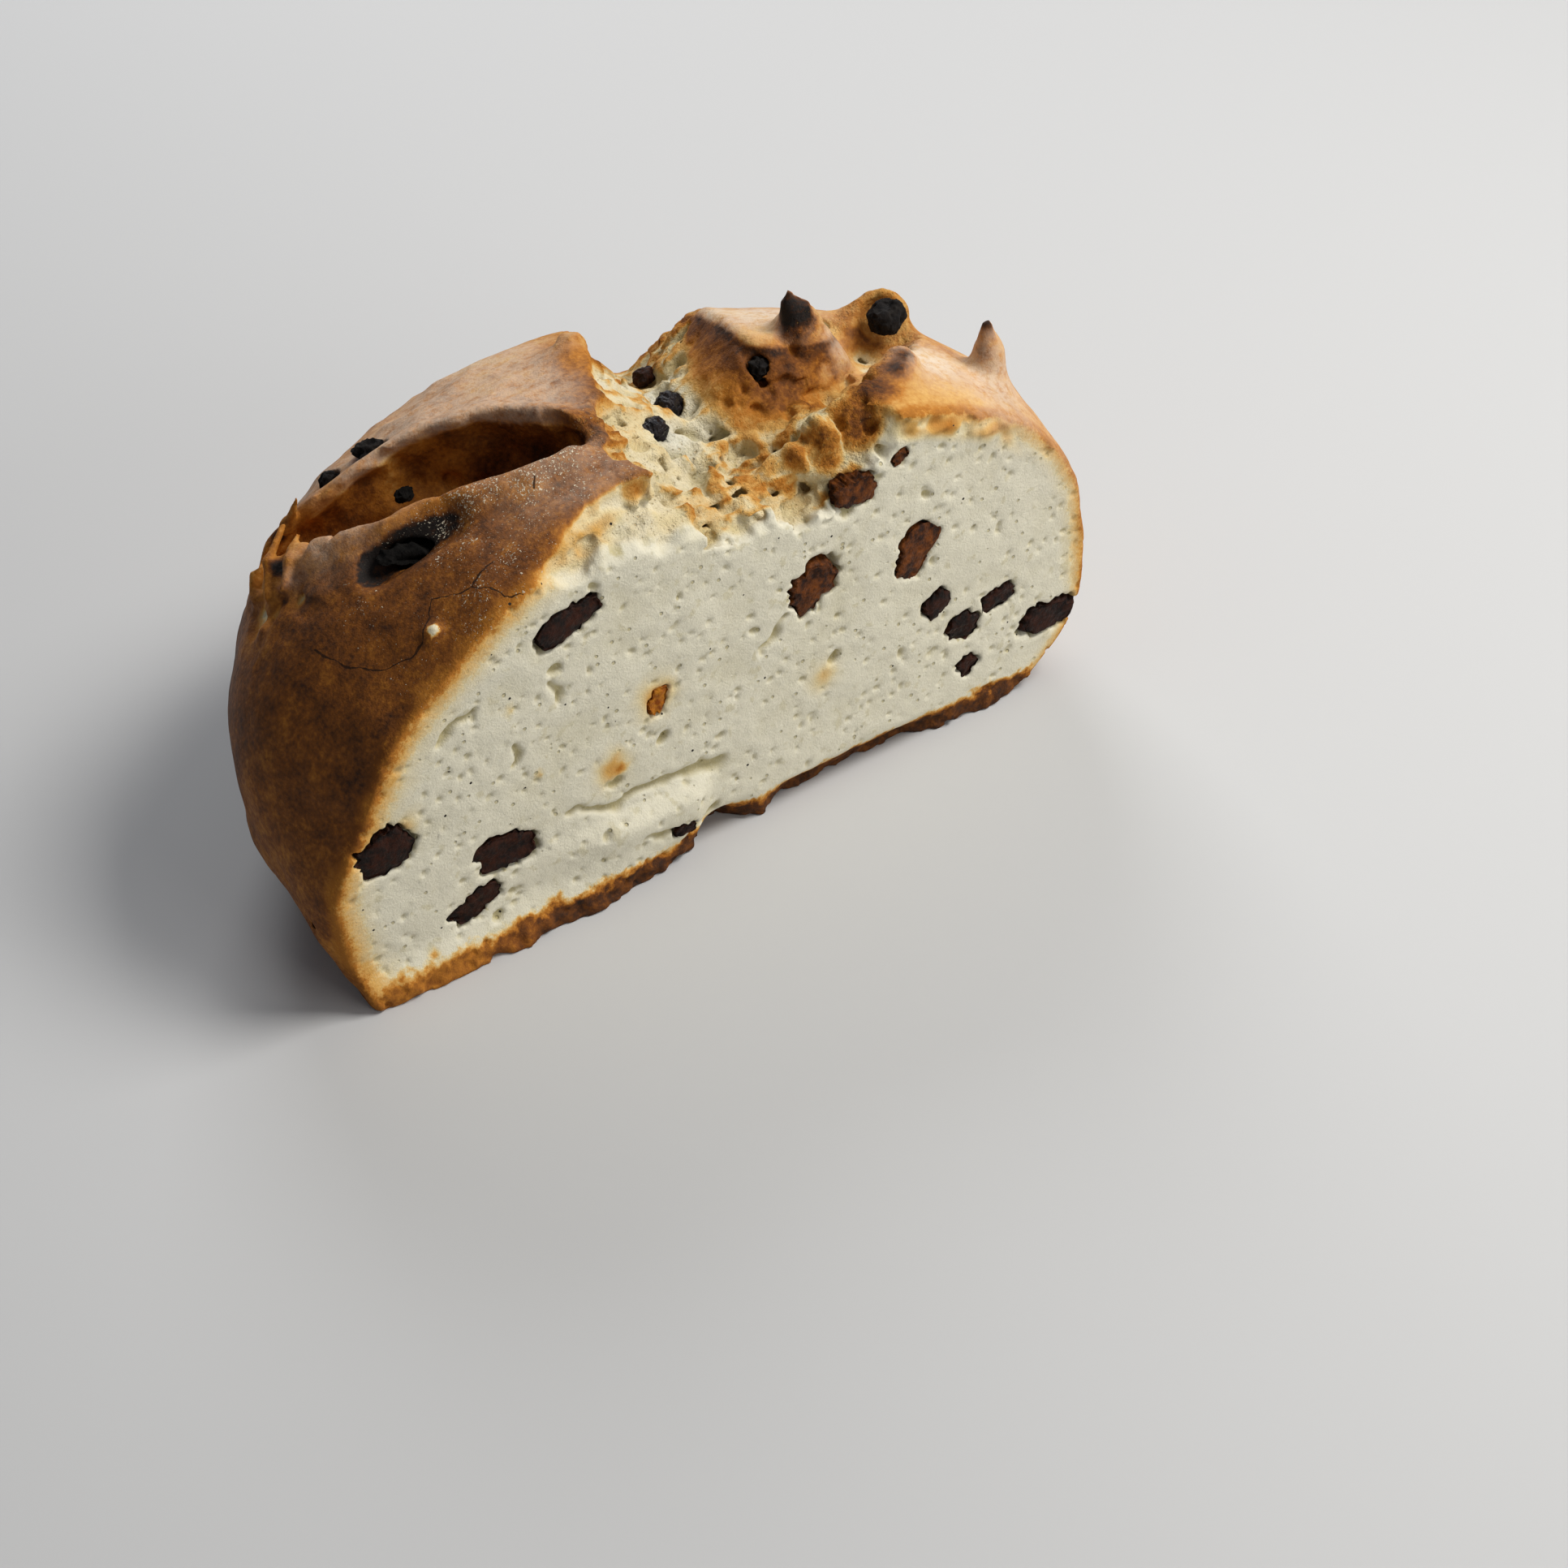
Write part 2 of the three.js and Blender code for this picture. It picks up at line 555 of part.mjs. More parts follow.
// A queue that gives back the cheapest entry first
class CheapestFirst {
  entries = [];

  push(entry) {
    const list = this.entries;
    let at = list.push(entry) - 1;
    while (at > 0) {
      const above = (at - 1) >> 1;
      if (list[above].cost <= list[at].cost) break;
      [list[above], list[at]] = [list[at], list[above]];
      at = above;
    }
  }

  pop() {
    const list = this.entries;
    const first = list[0];
    const last = list.pop();
    if (list.length === 0) return first;
    list[0] = last;
    let at = 0;
    for (;;) {
      const left = 2 * at + 1;
      const right = left + 1;
      let least = at;
      if (left < list.length && list[left].cost < list[least].cost) least = left;
      if (right < list.length && list[right].cost < list[least].cost) least = right;
      if (least === at) return first;
      [list[least], list[at]] = [list[at], list[least]];
      at = least;
    }
  }
}

// Thins a closed mesh by collapsing the edges that change its shape least
function thinOut({ positions, triangles }, wanted) {
  const p = positions.slice();
  const vertexCount = p.length / 3;
  const faces = [];
  for (let t = 0; t < triangles.length; t += 3) faces.push(triangles.slice(t, t + 3));
  const around = Array.from({ length: vertexCount }, () => new Set());
  const quadrics = Array.from({ length: vertexCount }, () => new Float64Array(10));
  faces.forEach((face, index) => {
    const normal = triangleNormal(p, ...face);
    const length = Math.hypot(...normal) || 1;
    const [x, y, z] = normal.map((value) => value / length);
    const w = -(x * p[face[0] * 3] + y * p[face[0] * 3 + 1] + z * p[face[0] * 3 + 2]);
    const terms = [x * x, x * y, x * z, x * w, y * y, y * z, y * w, z * z, z * w, w * w];
    for (const vertex of face) {
      around[vertex].add(index);
      for (let k = 0; k < 10; k += 1) quadrics[vertex][k] += (terms[k] * length) / 2;
    }
  });

  const point = (vertex) => p.slice(vertex * 3, vertex * 3 + 3);
  const neighbours = (vertex) => {
    const found = new Set();
    for (const index of around[vertex]) for (const other of faces[index]) found.add(other);
    found.delete(vertex);
    return found;
  };
  const version = new Int32Array(vertexCount);
  const queue = new CheapestFirst();
  const offer = (a, b) => {
    const sum = quadrics[a].map((value, k) => value + quadrics[b][k]);
    const to = bestPoint(sum, point(a), point(b));
    const cost = Math.max(planeError(sum, ...to), 0);
    queue.push({ cost, a, b, to, stamp: version[a] + version[b] });
  };
  const turnsOver = (vertex, partner, to) => {
    for (const index of around[vertex]) {
      const face = faces[index];
      if (face.includes(partner)) continue;
      const before = triangleNormal(p, ...face);
      const was = point(vertex);
      for (let axis = 0; axis < 3; axis += 1) p[vertex * 3 + axis] = to[axis];
      const after = triangleNormal(p, ...face);
      for (let axis = 0; axis < 3; axis += 1) p[vertex * 3 + axis] = was[axis];
      if (dot(before, after) < 0.3 * Math.hypot(...before) * Math.hypot(...after)) return true;
    }
    return false;
  };

  for (let a = 0; a < vertexCount; a += 1) {
    for (const b of neighbours(a)) if (b > a) offer(a, b);
  }
  let count = faces.length;
  const gone = new Uint8Array(vertexCount);
  while (count > wanted && queue.entries.length > 0) {
    const { a, b, to, stamp } = queue.pop();
    if (gone[a] || gone[b] || stamp !== version[a] + version[b]) continue;
    const nearB = neighbours(b);
    const shared = [...neighbours(a)].filter((vertex) => nearB.has(vertex));
    if (shared.length !== 2 || turnsOver(a, b, to) || turnsOver(b, a, to)) continue;
    for (const index of [...around[b]]) {
      const face = faces[index];
      if (face.includes(a)) {
        for (const vertex of face) around[vertex].delete(index);
        faces[index] = null;
        count -= 1;
      } else {
        face[face.indexOf(b)] = a;
        around[a].add(index);
      }
    }
    gone[b] = 1;
    for (let axis = 0; axis < 3; axis += 1) p[a * 3 + axis] = to[axis];
    for (let k = 0; k < 10; k += 1) quadrics[a][k] += quadrics[b][k];
    version[a] += vertexCount;
    for (const other of neighbours(a)) offer(Math.min(a, other), Math.max(a, other));
  }
  return largestShell({ positions: p, triangles: faces.filter(Boolean).flat() });
}

const wasm = await Module();
wasm.setup();

function solidFromArrays({ positions, triangles }) {
  const mesh = new wasm.Mesh({
    numProp: 3,
    vertProperties: new Float32Array(positions),
    triVerts: new Uint32Array(triangles),
  });
  return new wasm.Manifold(mesh);
}

function solidFromGeometry(geometry) {
  const bare = geometry.clone();
  bare.deleteAttribute("normal");
  bare.deleteAttribute("uv");
  const merged = mergeVertices(bare, 1e-4);
  return solidFromArrays({
    positions: Array.from(merged.attributes.position.array),
    triangles: Array.from(merged.index.array),
  });
}

function arraysFromSolid(solid) {
  const mesh = solid.getMesh();
  return { positions: Array.from(mesh.vertProperties), triangles: Array.from(mesh.triVerts) };
}

function geometryFromArrays({ positions, triangles }) {
  const geometry = new THREE.BufferGeometry();
  geometry.setAttribute("position", new THREE.Float32BufferAttribute(positions, 3));
  geometry.setIndex(triangles);
  geometry.computeVertexNormals();
  return geometry;
}

function box(low, high) {
  const geometry = new THREE.BoxGeometry(high[0] - low[0], high[1] - low[1], high[2] - low[2]);
  geometry.translate((low[0] + high[0]) / 2, (low[1] + high[1]) / 2, (low[2] + high[2]) / 2);
  return solidFromGeometry(geometry);
}

function wholeLoaf() {
  const xs = gridLines(-92, 92, -92, 92);
  const ys = gridLines(-30, 78, -30, 48);
  const zs = gridLines(-6, 94, 48, 94);
  const values = new Float64Array(xs.length * ys.length * zs.length);
  let index = 0;
  for (const z of zs) {
    for (const y of ys) {
      for (const x of xs) {
        const plan = planAt(x, y);
        const edge = x === xs[0] || y === ys[0] || z === zs[0];
        const farEdge = x === xs[xs.length - 1] || y === ys[ys.length - 1] || z === zs[zs.length - 1];
        values[index] = edge || farEdge ? 3 : loafField(x, y, z, plan);
        index += 1;
      }
    }
  }
  fillPinches(values, [xs.length, ys.length, zs.length]);
  const surface = settle(relax(largestShell(meshField(xs, ys, zs, values)), 2));
  return solidFromArrays(thinOut(surface, LOAF_TRIANGLES));
}

// How far the bread stands forward of the cut plane at a point of the face: back is negative
function faceRelief(x, z) {
  const left = ramp(-4, -11, x);
  const skirt = SKIRT_REACH * ramp(-10, -34, x) * (1 - ramp(0, SKIRT_HEIGHT, z));
  const flapFade = ramp(-44, -24, x) * left * (1 - ramp(FLAP_HEIGHT, FLAP_HEIGHT + 5, z));
  const flap = FLAP_REACH * flapFade * ramp(-4, FLAP_HEIGHT, z);
  const notch = NOTCH_DEPTH * Math.exp(-(((x - NOTCH_X) / 5) ** 2)) * (1 - ramp(1, 8, z));
  const lift = LIFT_DEPTH * ramp(6, 12, x) * ramp(52, 40, x) * (1 - ramp(1, 7, z));
  return skirt + flap - notch - lift;
}

// The block of bread that the knife removed, with the torn face as its back
function removedBlock() {
  const columns = [];
  for (let x = -102; x <= 102; x += FACE_STEP) columns.push(x);
  const rows = [-8, 0, 3, 6, 10, 14, 19, 104];
  const front = -60;
  const positions = [];
  const triangles = [];
  const width = columns.length;
  for (const z of rows) {
    for (const x of columns) positions.push(x, CUT_Y - faceRelief(x, z), z);
  }
  const frontStart = positions.length / 3;
  for (const z of rows) {
    for (const x of columns) positions.push(x, front, z);
  }
  const quad = (a, b, c, d) => triangles.push(a, b, c, a, c, d);
  for (let row = 0; row + 1 < rows.length; row += 1) {
    for (let column = 0; column + 1 < width; column += 1) {
      const a = row * width + column;
      quad(a, a + width, a + width + 1, a + 1);
      const b = frontStart + a;
      quad(b, b + 1, b + width + 1, b + width);
    }
  }
  const rim = [];
  for (let column = 0; column < width; column += 1) rim.push(column);
  for (let row = 1; row < rows.length; row += 1) rim.push(row * width + width - 1);
  for (let column = width - 2; column >= 0; column -= 1) rim.push((rows.length - 1) * width + column);
  for (let row = rows.length - 2; row > 0; row -= 1) rim.push(row * width);
  rim.forEach((vertex, index) => {
    const next = rim[(index + 1) % rim.length];
    quad(vertex, next, next + frontStart, vertex + frontStart);
  });
  return solidFromArrays({ positions, triangles });
}

// A wrinkled raisin; grow swells it evenly, for the pocket that holds it
function raisinGeometry(half, seed, grow) {
  const geometry = new THREE.IcosahedronGeometry(1, 1);
  const position = geometry.attributes.position;
  const point = new THREE.Vector3();
  for (let i = 0; i < position.count; i += 1) {
    point.fromBufferAttribute(position, i).normalize();
    const wrinkle = 1 + 0.14 * noise(point.x * 1.7 + seed, point.y * 1.7, point.z * 1.7, 31);
    point.set(point.x * half[0], point.y * half[1], point.z * half[2]).multiplyScalar(wrinkle);
    const length = point.length();
    point.multiplyScalar((length + grow) / length);
    position.setXYZ(i, point.x, point.y, point.z);
  }
  return geometry;
}

function raisinPlacements() {
  const face = FACE_RAISINS.map((raisin) => ({
    half: [raisin.long, FACE_RAISIN_DEPTH * Math.min(1, raisin.short / 3), raisin.short],
    at: [raisin.x, 0, raisin.z],
    turn: new THREE.Euler(0, THREE.MathUtils.degToRad(-raisin.tilt), 0),
  }));
  for (const raisin of face) {
    const proud = FACE_RAISIN_PROUD + faceRelief(raisin.at[0], raisin.at[2]);
    raisin.at[1] = CUT_Y - proud + raisin.half[1];
  }
  const top = TOP_RAISINS.map((raisin) => ({
    half: raisin.half,
    at: raisin.at,
    turn: new THREE.Euler(0, 0, THREE.MathUtils.degToRad(raisin.turn)),
  }));
  return [...face, ...top];
}

function placed(geometry, raisin) {
  const matrix = new THREE.Matrix4().makeRotationFromEuler(raisin.turn);
  matrix.setPosition(...raisin.at);
  return geometry.applyMatrix4(matrix);
}

function cutLoaf(raisins) {
  let loaf = wholeLoaf();
  loaf = loaf.subtract(box([-120, -70, -20], [120, 100, 0]));
  loaf = loaf.subtract(removedBlock());
  raisins.forEach((raisin, index) => {
    const pocket = placed(raisinGeometry(raisin.half, index, POCKET_GAP * 1.25), raisin);
    loaf = loaf.subtract(solidFromGeometry(pocket));
  });
  return geometryFromArrays(largestShell(arraysFromSolid(loaf)));
}

const crustMaterial = new THREE.MeshStandardMaterial({ color: 0xa9703c, roughness: 0.75, metalness: 0 });
const raisinMaterial = new THREE.MeshStandardMaterial({ color: 0x2a1512, roughness: 0.45, metalness: 0 });

const part = new THREE.Group();
const raisins = raisinPlacements();
const loafMesh = new THREE.Mesh(cutLoaf(raisins), crustMaterial);
loafMesh.name = "loaf";
part.add(loafMesh);

raisins.forEach((raisin, index) => {
  const bare = raisinGeometry(raisin.half, index, 0);
  bare.deleteAttribute("normal");
  bare.deleteAttribute("uv");
  const mesh = new THREE.Mesh(mergeVertices(bare, 1e-4), raisinMaterial.clone());
  mesh.name = `raisin_${String(index + 1).padStart(2, "0")}`;
  mesh.position.set(...raisin.at);
  mesh.rotation.copy(raisin.turn);
  part.add(mesh);
});

export default part;
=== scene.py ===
# Looks of the cut raisin loaf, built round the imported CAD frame.
# The loaf's form is worked out in millimetres, in the CAD's own frame, and made in metres.

import math
from functools import partialmethod

import bpy
import numpy as np
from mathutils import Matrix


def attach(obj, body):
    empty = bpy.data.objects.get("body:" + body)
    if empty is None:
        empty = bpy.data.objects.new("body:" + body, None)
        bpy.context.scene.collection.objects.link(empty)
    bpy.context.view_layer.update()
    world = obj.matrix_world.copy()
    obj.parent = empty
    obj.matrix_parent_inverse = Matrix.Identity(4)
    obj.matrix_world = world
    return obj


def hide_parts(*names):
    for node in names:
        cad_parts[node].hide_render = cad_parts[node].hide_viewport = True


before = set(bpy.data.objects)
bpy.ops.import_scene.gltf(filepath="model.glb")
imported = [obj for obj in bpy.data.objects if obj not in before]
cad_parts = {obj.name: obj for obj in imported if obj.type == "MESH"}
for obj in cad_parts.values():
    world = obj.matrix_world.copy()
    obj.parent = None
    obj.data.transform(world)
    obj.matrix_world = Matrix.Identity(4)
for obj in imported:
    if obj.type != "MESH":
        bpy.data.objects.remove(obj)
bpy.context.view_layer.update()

import openvdb
from mathutils import Vector

MM = 0.001

# Driving dimensions of the whole loaf
HALF_WIDTH = 86.5
HALF_DEPTH = 69
HEIGHT = 85
BULGE_HEIGHT = 22
PLAN_POWER = 2.2
CROWN_POWER = 2.5
LEFT_TUCK = 0.05
BACK_LEFT_TUCK = 0.2
RIGHT_TUCK = 0.19
FLANK_TRIM = 2.4
SHOULDER_TRIM = 4.4
CUT_Y = -19
TOP_START = 45

# The crosswise gash between the front left and back left lobes: plan x, y and half width
GASH = [
    (-18.5, 4, 3.6), (-23.5, 7.2, 7.2), (-29.5, 12, 9.2), (-39, 17, 9.6),
    (-46.8, 19.5, 8.8), (-53, 23.5, 6.8), (-58, 28, 4.8), (-62, 32, 2.4),
]
GASH_CENTRE_DEPTH = 8
GASH_UNDERCUT = 2
LIP_RADIUS = 3

# The open tear down the middle: plan outline, then y, left, right, floor and the banks' slopes
TEAR_OUTLINE = [
    (-47, -26), (-41, -17.5), (-32, -14.5), (-24, -11.5), (-17, -10.5), (-11.5, -11.5),
    (-13, -7), (-16, -3), (-17, 2), (-15, 7), (-9, 12), (-2.5, 19.5),
    (2.5, 31), (8, 46), (18, 66), (48, 66), (41, 48), (34, 37), (31, 30),
    (30, 22), (28, 15), (32, 11.5), (38, 9), (46, 14), (56, 17),
    (58, 11), (53, 5), (46, -3), (38, -10), (36, -15), (38, -26),
]
TEAR_STATIONS = [
    (-19, 19, 28.5, 65, 0.18, 1.3),
    (-8, 14, 20, 66.5, 0.4, 1.1),
    (4, 11, 16, 68.5, 0.65, 1.0),
    (14, 11, 14, 68.5, 0.88, 0.95),
    (24, 12, 15, 66.5, 1.02, 0.86),
    (38, 16, 18, 61, 1.1, 0.74),
    (52, 23, 26, 52, 1.1, 0.74),
    (64, 30, 33, 40, 1.1, 0.8),
]

# The side branch of the tear: x, y, z and radius
BRANCH = [(20, 3, 79, 8), (31, 0, 81, 8), (41, 4, 80.5, 8), (50, 9, 78, 7.5), (57, 12, 74.5, 6)]

# Raised crust and the hollows sunk in it: foot, tip, foot radius and tip radius
PEAKS = {
    "back cone foot": ((37.8, 12.5, 73), (37.8, 13.3, 80), 8.5, 4.4),
    "back cone tip": ((36.9, 13.7, 83.6), (36.5, 13.9, 87), 1.8, 0.8),
    "back cone": ((37.8, 13.3, 80), (36.8, 13.8, 85), 4.4, 1.5),
    "right spike root": ((67, -5, 60), (68.3, -4.3, 71.5), 7, 2.6),
    "right spike": ((68.3, -4.3, 71.5), (68, -4, 77.2), 2.2, 1.4),
    "front right peak": ((45.5, -7, 71), (47.8, -4.6, 77.4), 8.5, 3),
    "front right shoulder": ((39.5, -11, 68), (44, -7.2, 76.6), 5.2, 3.8),
    "back right ear": ((57, 15, 62), (58.5, 15.5, 72.5), 10, 5.2),
    "ear flap": ((51.5, 16.5, 71), (58.2, 15.4, 77.6), 4.5, 1.6),
    "back left corner": ((-6, 26, 75), (-0.5, 31, 81.5), 7, 2.5),
    "middle crag": ((26, -9.5, 69), (25.5, -10.3, 75), 5.4, 3.5),
    "left crag": ((13, -8.5, 68), (20, -10, 71.5), 2.4, 3.2),
    "right crag": ((31.5, -10, 71), (32.3, -11, 75.2), 3.8, 2),
    "knob by the cut edge": ((-8, -14.5, 68), (-8.5, -15, 71.2), 3, 1.9),
    "crumb fallen on the crust": ((-56.4, -11.4, 69.4), (-55.9, -11.9, 70.3), 0.55, 0.45),
}
PITS = {
    "burnt pit": ((-56.5, 5.8, 73.6), (-44.5, 2.2, 79.8), 4, 3.8),
    "branch recess": ((34.2, 0.2, 74.4), (39, 3.2, 75.6), 3.4, 3),
    "branch hollow": ((50.2, 7.2, 73.4), (52, 8.8, 73), 3, 3),
    "ear pocket": ((53, 7.5, 76.5), (56.5, 11.5, 75), 4.8, 4.8),
}
CREST_DIP = (33, 31, 14, 2.2)
PEAK_REACH = 24

# Frayed strands at the left end of the gash and the slots between them, as the peaks are
FRAYS = [
    ((-58.5, 34, 64), (-57.3, 31.4, 71.6), 1.2, 0.35),
    ((-56, 34, 65), (-53.7, 32.2, 69.8), 1.1, 0.35),
    ((-53, 34, 65), (-51.6, 34, 68.2), 1.0, 0.4),
    ((-62, 33.5, 62), (-58.5, 34, 65.5), 0.8, 0.8),
    ((-69.5, 22, 61.5), (-66.2, 27, 64.6), 0.7, 0.8),
    ((-66.2, 27, 64.6), (-60.5, 31.5, 67), 0.8, 0.6),
    ((-68.6, 18, 64), (-64.6, 22, 67.4), 0.7, 0.7),
    ((-64.6, 22, 67.4), (-60, 27, 67.5), 0.7, 0.5),
]
SLOTS = [
    ((-67.2, 21.6, 64.4), (-63.6, 26.4, 66.4), 1.2, 1.1),
    ((-60.8, 34.6, 62.8), (-59, 35.2, 63.4), 1.6, 1.4),
    ((-69.6, 19, 61.6), (-67.6, 17.4, 64.6), 0.9, 0.8),
    ((-62, 21, 69), (-58.6, 23, 69.6), 0.9, 0.8),
]

# Relief of the cut face, measured forward of the cut plane
SKIRT_REACH = 3
SKIRT_HEIGHT = 10
FLAP_REACH = 2.6
FLAP_HEIGHT = 14
NOTCH_DEPTH = 6.5
NOTCH_X = -3
LIFT_DEPTH = 3.2

# Grid step, the finished mesh's size, and how far from the surface the field is kept
GRID = 0.55
LOAF_TRIANGLES = 190000
FAR = 3


def ramp(low, high, value):
    t = np.clip((value - low) / (high - low), 0, 1)
    return t * t * (3 - 2 * t)


def soft_min(a, b, reach):
    h = np.maximum(reach - np.abs(a - b), 0) / reach
    return np.minimum(a, b) - h * h * reach * 0.25


def soft_max(a, b, reach):
    return -soft_min(-a, -b, reach)


# Smooth seeded noise between -1 and 1, the same as the CAD's
def noise(x, y, z, seed):
    shape = np.broadcast(x, y, z).shape
    floors = [np.floor(np.broadcast_to(v, shape)).astype(np.int32) for v in (x, y, z)]
    blends = []
    for value, low in zip((x, y, z), floors):
        t = np.asarray(value - low, np.float32)
        blends.append(t * t * t * (t * (t * 6 - 15) + 10))
    steps = [np.uint32(374761393), np.uint32(668265263), np.uint32(1440662683)]
    hashed = [low.astype(np.uint32) * step for low, step in zip(floors, steps)]
    start = np.uint32((seed * 1013904223) & 0xFFFFFFFF)

    def corner(cx, cy, cz):
        h = hashed[0] + hashed[1] + hashed[2] + start
        h = h + np.uint32((cx * 374761393 + cy * 668265263 + cz * 1440662683) & 0xFFFFFFFF)
        h = (h ^ (h >> np.uint32(13))) * np.uint32(1274126177)
        h = h ^ (h >> np.uint32(16))
        return h.astype(np.float32) * np.float32(2 / 4294967295) - 1

    u, v, w = blends
    layers = []
    for cz in (0, 1):
        front = corner(0, 0, cz) * (1 - u) + corner(1, 0, cz) * u
        back = corner(0, 1, cz) * (1 - u) + corner(1, 1, cz) * u
        layers.append(front * (1 - v) + back * v)
    return layers[0] * (1 - w) + layers[1] * w


def mottling(x, y, z, size, seed):
    return noise(x / size, y / size, z / size, seed)


# A web of ridges at 1 with rounded hollows falling to about 0 between them
def web(x, y, z, seed):
    return 1 - 1.6 * np.abs(noise(x, y, z, seed))


def crown_height(x, y):
    reach = math.hypot(x / HALF_WIDTH, y / HALF_DEPTH)
    if reach >= 1:
        return BULGE_HEIGHT
    return BULGE_HEIGHT + (HEIGHT - BULGE_HEIGHT) * (1 - reach ** PLAN_POWER) ** (1 / CROWN_POWER)


def body_distance(x, y, z):
    reach = np.hypot(x / HALF_WIDTH, y / HALF_DEPTH)
    rise = z - BULGE_HEIGHT
    flank = FLANK_TRIM * ramp(-40, -70, x) * ramp(CUT_Y, CUT_Y + 20, y) * ramp(44, 18, z)
    shoulder = ramp(-30, -58, x) * ramp(CUT_Y + 27, CUT_Y + 2, y) * ramp(24, 42, z) * ramp(84, 62, z)
    flank = flank + SHOULDER_TRIM * shoulder
    above = np.maximum(rise, 0)
    level = reach ** PLAN_POWER + (above / (HEIGHT - BULGE_HEIGHT)) ** CROWN_POWER
    level = np.maximum(level, 1e-6) ** (2 / (PLAN_POWER + CROWN_POWER))
    upper = np.sqrt(x * x + y * y + above * above) * (1 - 1 / level)
    drop = np.clip(-rise / BULGE_HEIGHT, 0, 1.3)
    left = LEFT_TUCK + (BACK_LEFT_TUCK - LEFT_TUCK) * ramp(CUT_Y, CUT_Y + 25, y)
    tuck = left + (RIGHT_TUCK - left) * ramp(-60, 60, x)
    scale = np.hypot(x, y) / np.maximum(reach, 1e-6)
    lower = (reach - (1 - tuck * drop ** 2.2)) * scale
    swell = 1.3 * mottling(x, y, z, 34, 11) + 0.7 * mottling(x, y, z, 15, 12)
    return np.where(rise > 0, upper, lower) + flank - swell


def rod_distance(x, y, z, a, b, ra, rb):
    dx, dy, dz = (b[k] - a[k] for k in range(3))
    along = (x - a[0]) * dx + (y - a[1]) * dy + (z - a[2]) * dz
    t = np.clip(along / (dx * dx + dy * dy + dz * dz), 0, 1)
    px, py, pz = x - a[0] - dx * t, y - a[1] - dy * t, z - a[2] - dz * t
    return np.sqrt(px * px + py * py + pz * pz) - (ra + (rb - ra) * t)


def chain_distance(x, y, z, chain, reach=0):
    nearest = np.full(np.shape(x), 1e3)
    for index, (a, b) in enumerate(zip(chain, chain[1:])):
        d = rod_distance(x, y, z, a[:3], b[:3], a[3], b[3])
        nearest = soft_min(nearest, d, reach) if reach and index else np.minimum(nearest, d)
    return nearest


# Numbers of the samples in a cube round a point
def near_point(x, y, z, point, reach):
    far = np.maximum(np.abs(x - point[0]), np.abs(y - point[1]))
    return np.nonzero(np.maximum(far, np.abs(z - point[2])) < reach)[0]


# A chain beside or under the gash: side -1 is the front lip, +1 the back lip
def gash_chain(side, shift, depth, radius):
    chain = []
    for index, (px, py, half) in enumerate(GASH):
        before = GASH[max(index - 1, 0)]
        after = GASH[min(index + 1, len(GASH) - 1)]
        length = math.hypot(after[0] - before[0], after[1] - before[1])
        across = ((after[1] - before[1]) / length, -(after[0] - before[0]) / length)
        x = px + across[0] * (side * half + shift)
        y = py + across[1] * (side * half + shift)
        chain.append((x, y, crown_height(x, y) - depth(half), radius(half)))
    return chain


HOLLOW = gash_chain(0, GASH_UNDERCUT, lambda half: min(GASH_CENTRE_DEPTH, half + 1), lambda half: half * 1.05)
MOUTH = gash_chain(0, 0, lambda half: -3, lambda half: half * 0.98)
FRONT_LIP = gash_chain(-1, -1.5, lambda half: 1.4, lambda half: LIP_RADIUS)
BACK_LIP = gash_chain(1, 1.5, lambda half: 1.4, lambda half: LIP_RADIUS)


def gash_distance(x, y, z):
    return soft_min(chain_distance(x, y, z, HOLLOW, 2), chain_distance(x, y, z, MOUTH, 2), 4)


def tear_distance(x, y):
    nearest = np.full(np.shape(x), 1e3)
    inside = np.zeros(np.shape(x), bool)
    for (ax, ay), (bx, by) in zip(TEAR_OUTLINE, TEAR_OUTLINE[-1:] + TEAR_OUTLINE[:-1]):
        ex, ey = bx - ax, by - ay
        t = np.clip(((x - ax) * ex + (y - ay) * ey) / (ex * ex + ey * ey), 0, 1)
        nearest = np.minimum(nearest, np.hypot(x - ax - ex * t, y - ay - ey * t))
        if ay != by:
            crosses = (ay > y) != (by > y)
            inside ^= crosses & (x < ex * (y - ay) / ey + ax)
    return np.where(inside, -nearest, nearest)


def tear_floor(x, y):
    ys = [s[0] for s in TEAR_STATIONS]
    left, right, floor, left_slope, right_slope = (
        np.interp(y, ys, [s[k] for s in TEAR_STATIONS]) for k in range(1, 6)
    )
    left_rise = soft_max(0, left - x, 4) * left_slope
    right_rise = soft_max(0, x - right, 3) * right_slope
    return floor + left_rise + right_rise


# How far the bread stands forward of the cut plane at a point of the face: back is negative
def face_relief(x, z):
    left = ramp(-4, -11, x)
    skirt = SKIRT_REACH * ramp(-10, -34, x) * (1 - ramp(0, SKIRT_HEIGHT, z))
    flap = FLAP_REACH * ramp(-44, -24, x) * left * (1 - ramp(FLAP_HEIGHT, FLAP_HEIGHT + 5, z))
    flap = flap * ramp(-4, FLAP_HEIGHT, z)
    notch = NOTCH_DEPTH * np.exp(-(((x - NOTCH_X) / 5) ** 2)) * (1 - ramp(1, 8, z))
    lift = LIFT_DEPTH * ramp(6, 12, x) * ramp(52, 40, x) * (1 - ramp(1, 7, z))
    return skirt + flap - notch - lift


